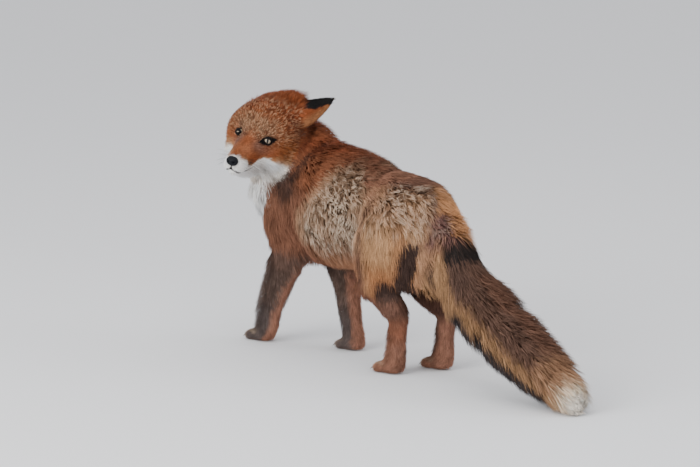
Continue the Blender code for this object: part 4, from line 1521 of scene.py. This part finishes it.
def eyeMaterial():
    # an amber iris with an upright pupil, drawn on the eye's own map
    made, tree, shader = newMaterial("amberEye")
    place = addNode(tree, "UVMap", {}, uv_map="iris")
    middle = {0: place.outputs["UV"], 1: (0.5, 0.5, 0.0)}
    centred = addNode(tree, "VectorMath", middle, operation="SUBTRACT").outputs["Vector"]
    reach = addNode(tree, "VectorMath", {0: centred}, operation="LENGTH").outputs["Value"]
    wide, high = iris["pupil"]
    slit = {0: centred, 1: (1.0 / wide, 1.0 / high, 0.0)}
    slit = addNode(tree, "VectorMath", slit, operation="MULTIPLY").outputs["Vector"]
    slitReach = addNode(tree, "VectorMath", {0: slit}, operation="LENGTH").outputs["Value"]
    edge = {"From Min": 0.85, "From Max": 1.15, "Value": slitReach}
    pupil = addNode(tree, "MapRange", edge, interpolation_type="SMOOTHSTEP").outputs["Result"]
    outward = addNode(tree, "Math", {0: reach, 1: 4.0}, operation="MULTIPLY").outputs["Value"]
    ramp = addNode(tree, "ValToRGB", {"Fac": outward})
    stops, elements = iris["stops"], ramp.color_ramp.elements
    elements[0].position, elements[0].color = stops[0]
    elements[1].position, elements[1].color = stops[-1]
    for position, colour in stops[1:-1]:
        elements.new(position).color = colour
    threads = addNode(tree, "TexNoise", {"Scale": 40.0, "Vector": centred}).outputs["Fac"]
    streak = addNode(tree, "MapRange", {"To Min": 0.7, "To Max": 1.25, "Value": threads}).outputs["Result"]
    strength = addNode(tree, "Math", {0: pupil, 1: streak}, operation="MULTIPLY").outputs["Value"]
    toned = {0: ramp.outputs["Color"], "Scale": strength}
    toned = addNode(tree, "VectorMath", toned, operation="SCALE").outputs["Vector"]
    feed(tree, shader, {"Base Color": toned, "Roughness": 0.08, "Specular IOR Level": 0.25})
    return made


def dress(things, material):
    for thing in things:
        thing.data.materials.clear()
        thing.data.materials.append(material)


dress([skin], furMaterial("undercoat"))
dress(coat, furMaterial("guardHair"))
dress(eyes, eyeMaterial())
worn = {
    "lidSkin": lids, "nosePad": [nose], "lipSkin": [lips], "whiskerHair": [whiskers], "clawHorn": [claws],
}
for leather, things in worn.items():
    dress(things, leatherMaterial(leather))
print("finishes made")

# Floor, lights and camera. Each light has its place, target, size, power and colour.
studio = {
    "aim": (0.0746, -0.0813, 0.2453),
    "back": (0.633, 0.754, 0.174),
    "distance": 6.944,
    "lens": 200.0,
    "floor": 14.0,
    "paper": (0.84, 0.85, 0.87, 1),
    "sky": (0.82, 0.82, 0.84, 1),
    "world": 1.15,
    "lights": {
        "overhead": ((0.6, 0.3, 3.4), (0, 0, 0.2), 3.0, 28, (1.0, 0.99, 0.97)),
        "key": ((3.4, 0.2, 1.6), (0, 0, 0.25), 2.6, 100, (1.0, 0.99, 0.97)),
        "fill": ((1.8, 3.4, 0.9), (0, 0, 0.20), 2.4, 56, (1.0, 0.99, 0.98)),
        "rim": ((-2.4, 2.6, 2.0), (0, 0, 0.25), 1.6, 22, (0.97, 0.98, 1.0)),
    },
}


def makeFloor():
    bpy.ops.mesh.primitive_plane_add(size=studio["floor"], location=(0, 0, 0))
    floor = bpy.context.object
    floor.name = "floor"
    paper, tree, shader = newMaterial("palePaper")
    feed(tree, shader, {"Base Color": studio["paper"], "Roughness": 0.9})
    dress([floor], paper)
    floor.select_set(False)


def aimed(thing, place, way):
    thing.location = place
    thing.rotation_euler = way.to_track_quat("-Z", "Y").to_euler()


def makeStudio():
    makeFloor()
    for name, (place, target, size, power, colour) in studio["lights"].items():
        light = bpy.data.lights.new(name, "AREA")
        light.shape = "DISK"
        light.size = size
        light.energy = power
        light.color = colour
        aimed(linked(name, light), place, Vector(target) - Vector(place))
    world = bpy.data.worlds.new("studio")
    world.use_nodes = True
    sky = world.node_tree.nodes["Background"]
    feed(world.node_tree, sky, {"Color": studio["sky"], "Strength": studio["world"]})
    bpy.context.scene.world = world
    lens = bpy.data.cameras.new("camera")
    lens.lens = studio["lens"]
    lens.sensor_width = 36.0
    lens.clip_end = 100.0
    camera = linked("camera", lens)
    back = Vector(studio["back"]).normalized()
    aimed(camera, Vector(studio["aim"]) + shift + back * studio["distance"], -back)
    bpy.context.scene.camera = camera


makeStudio()
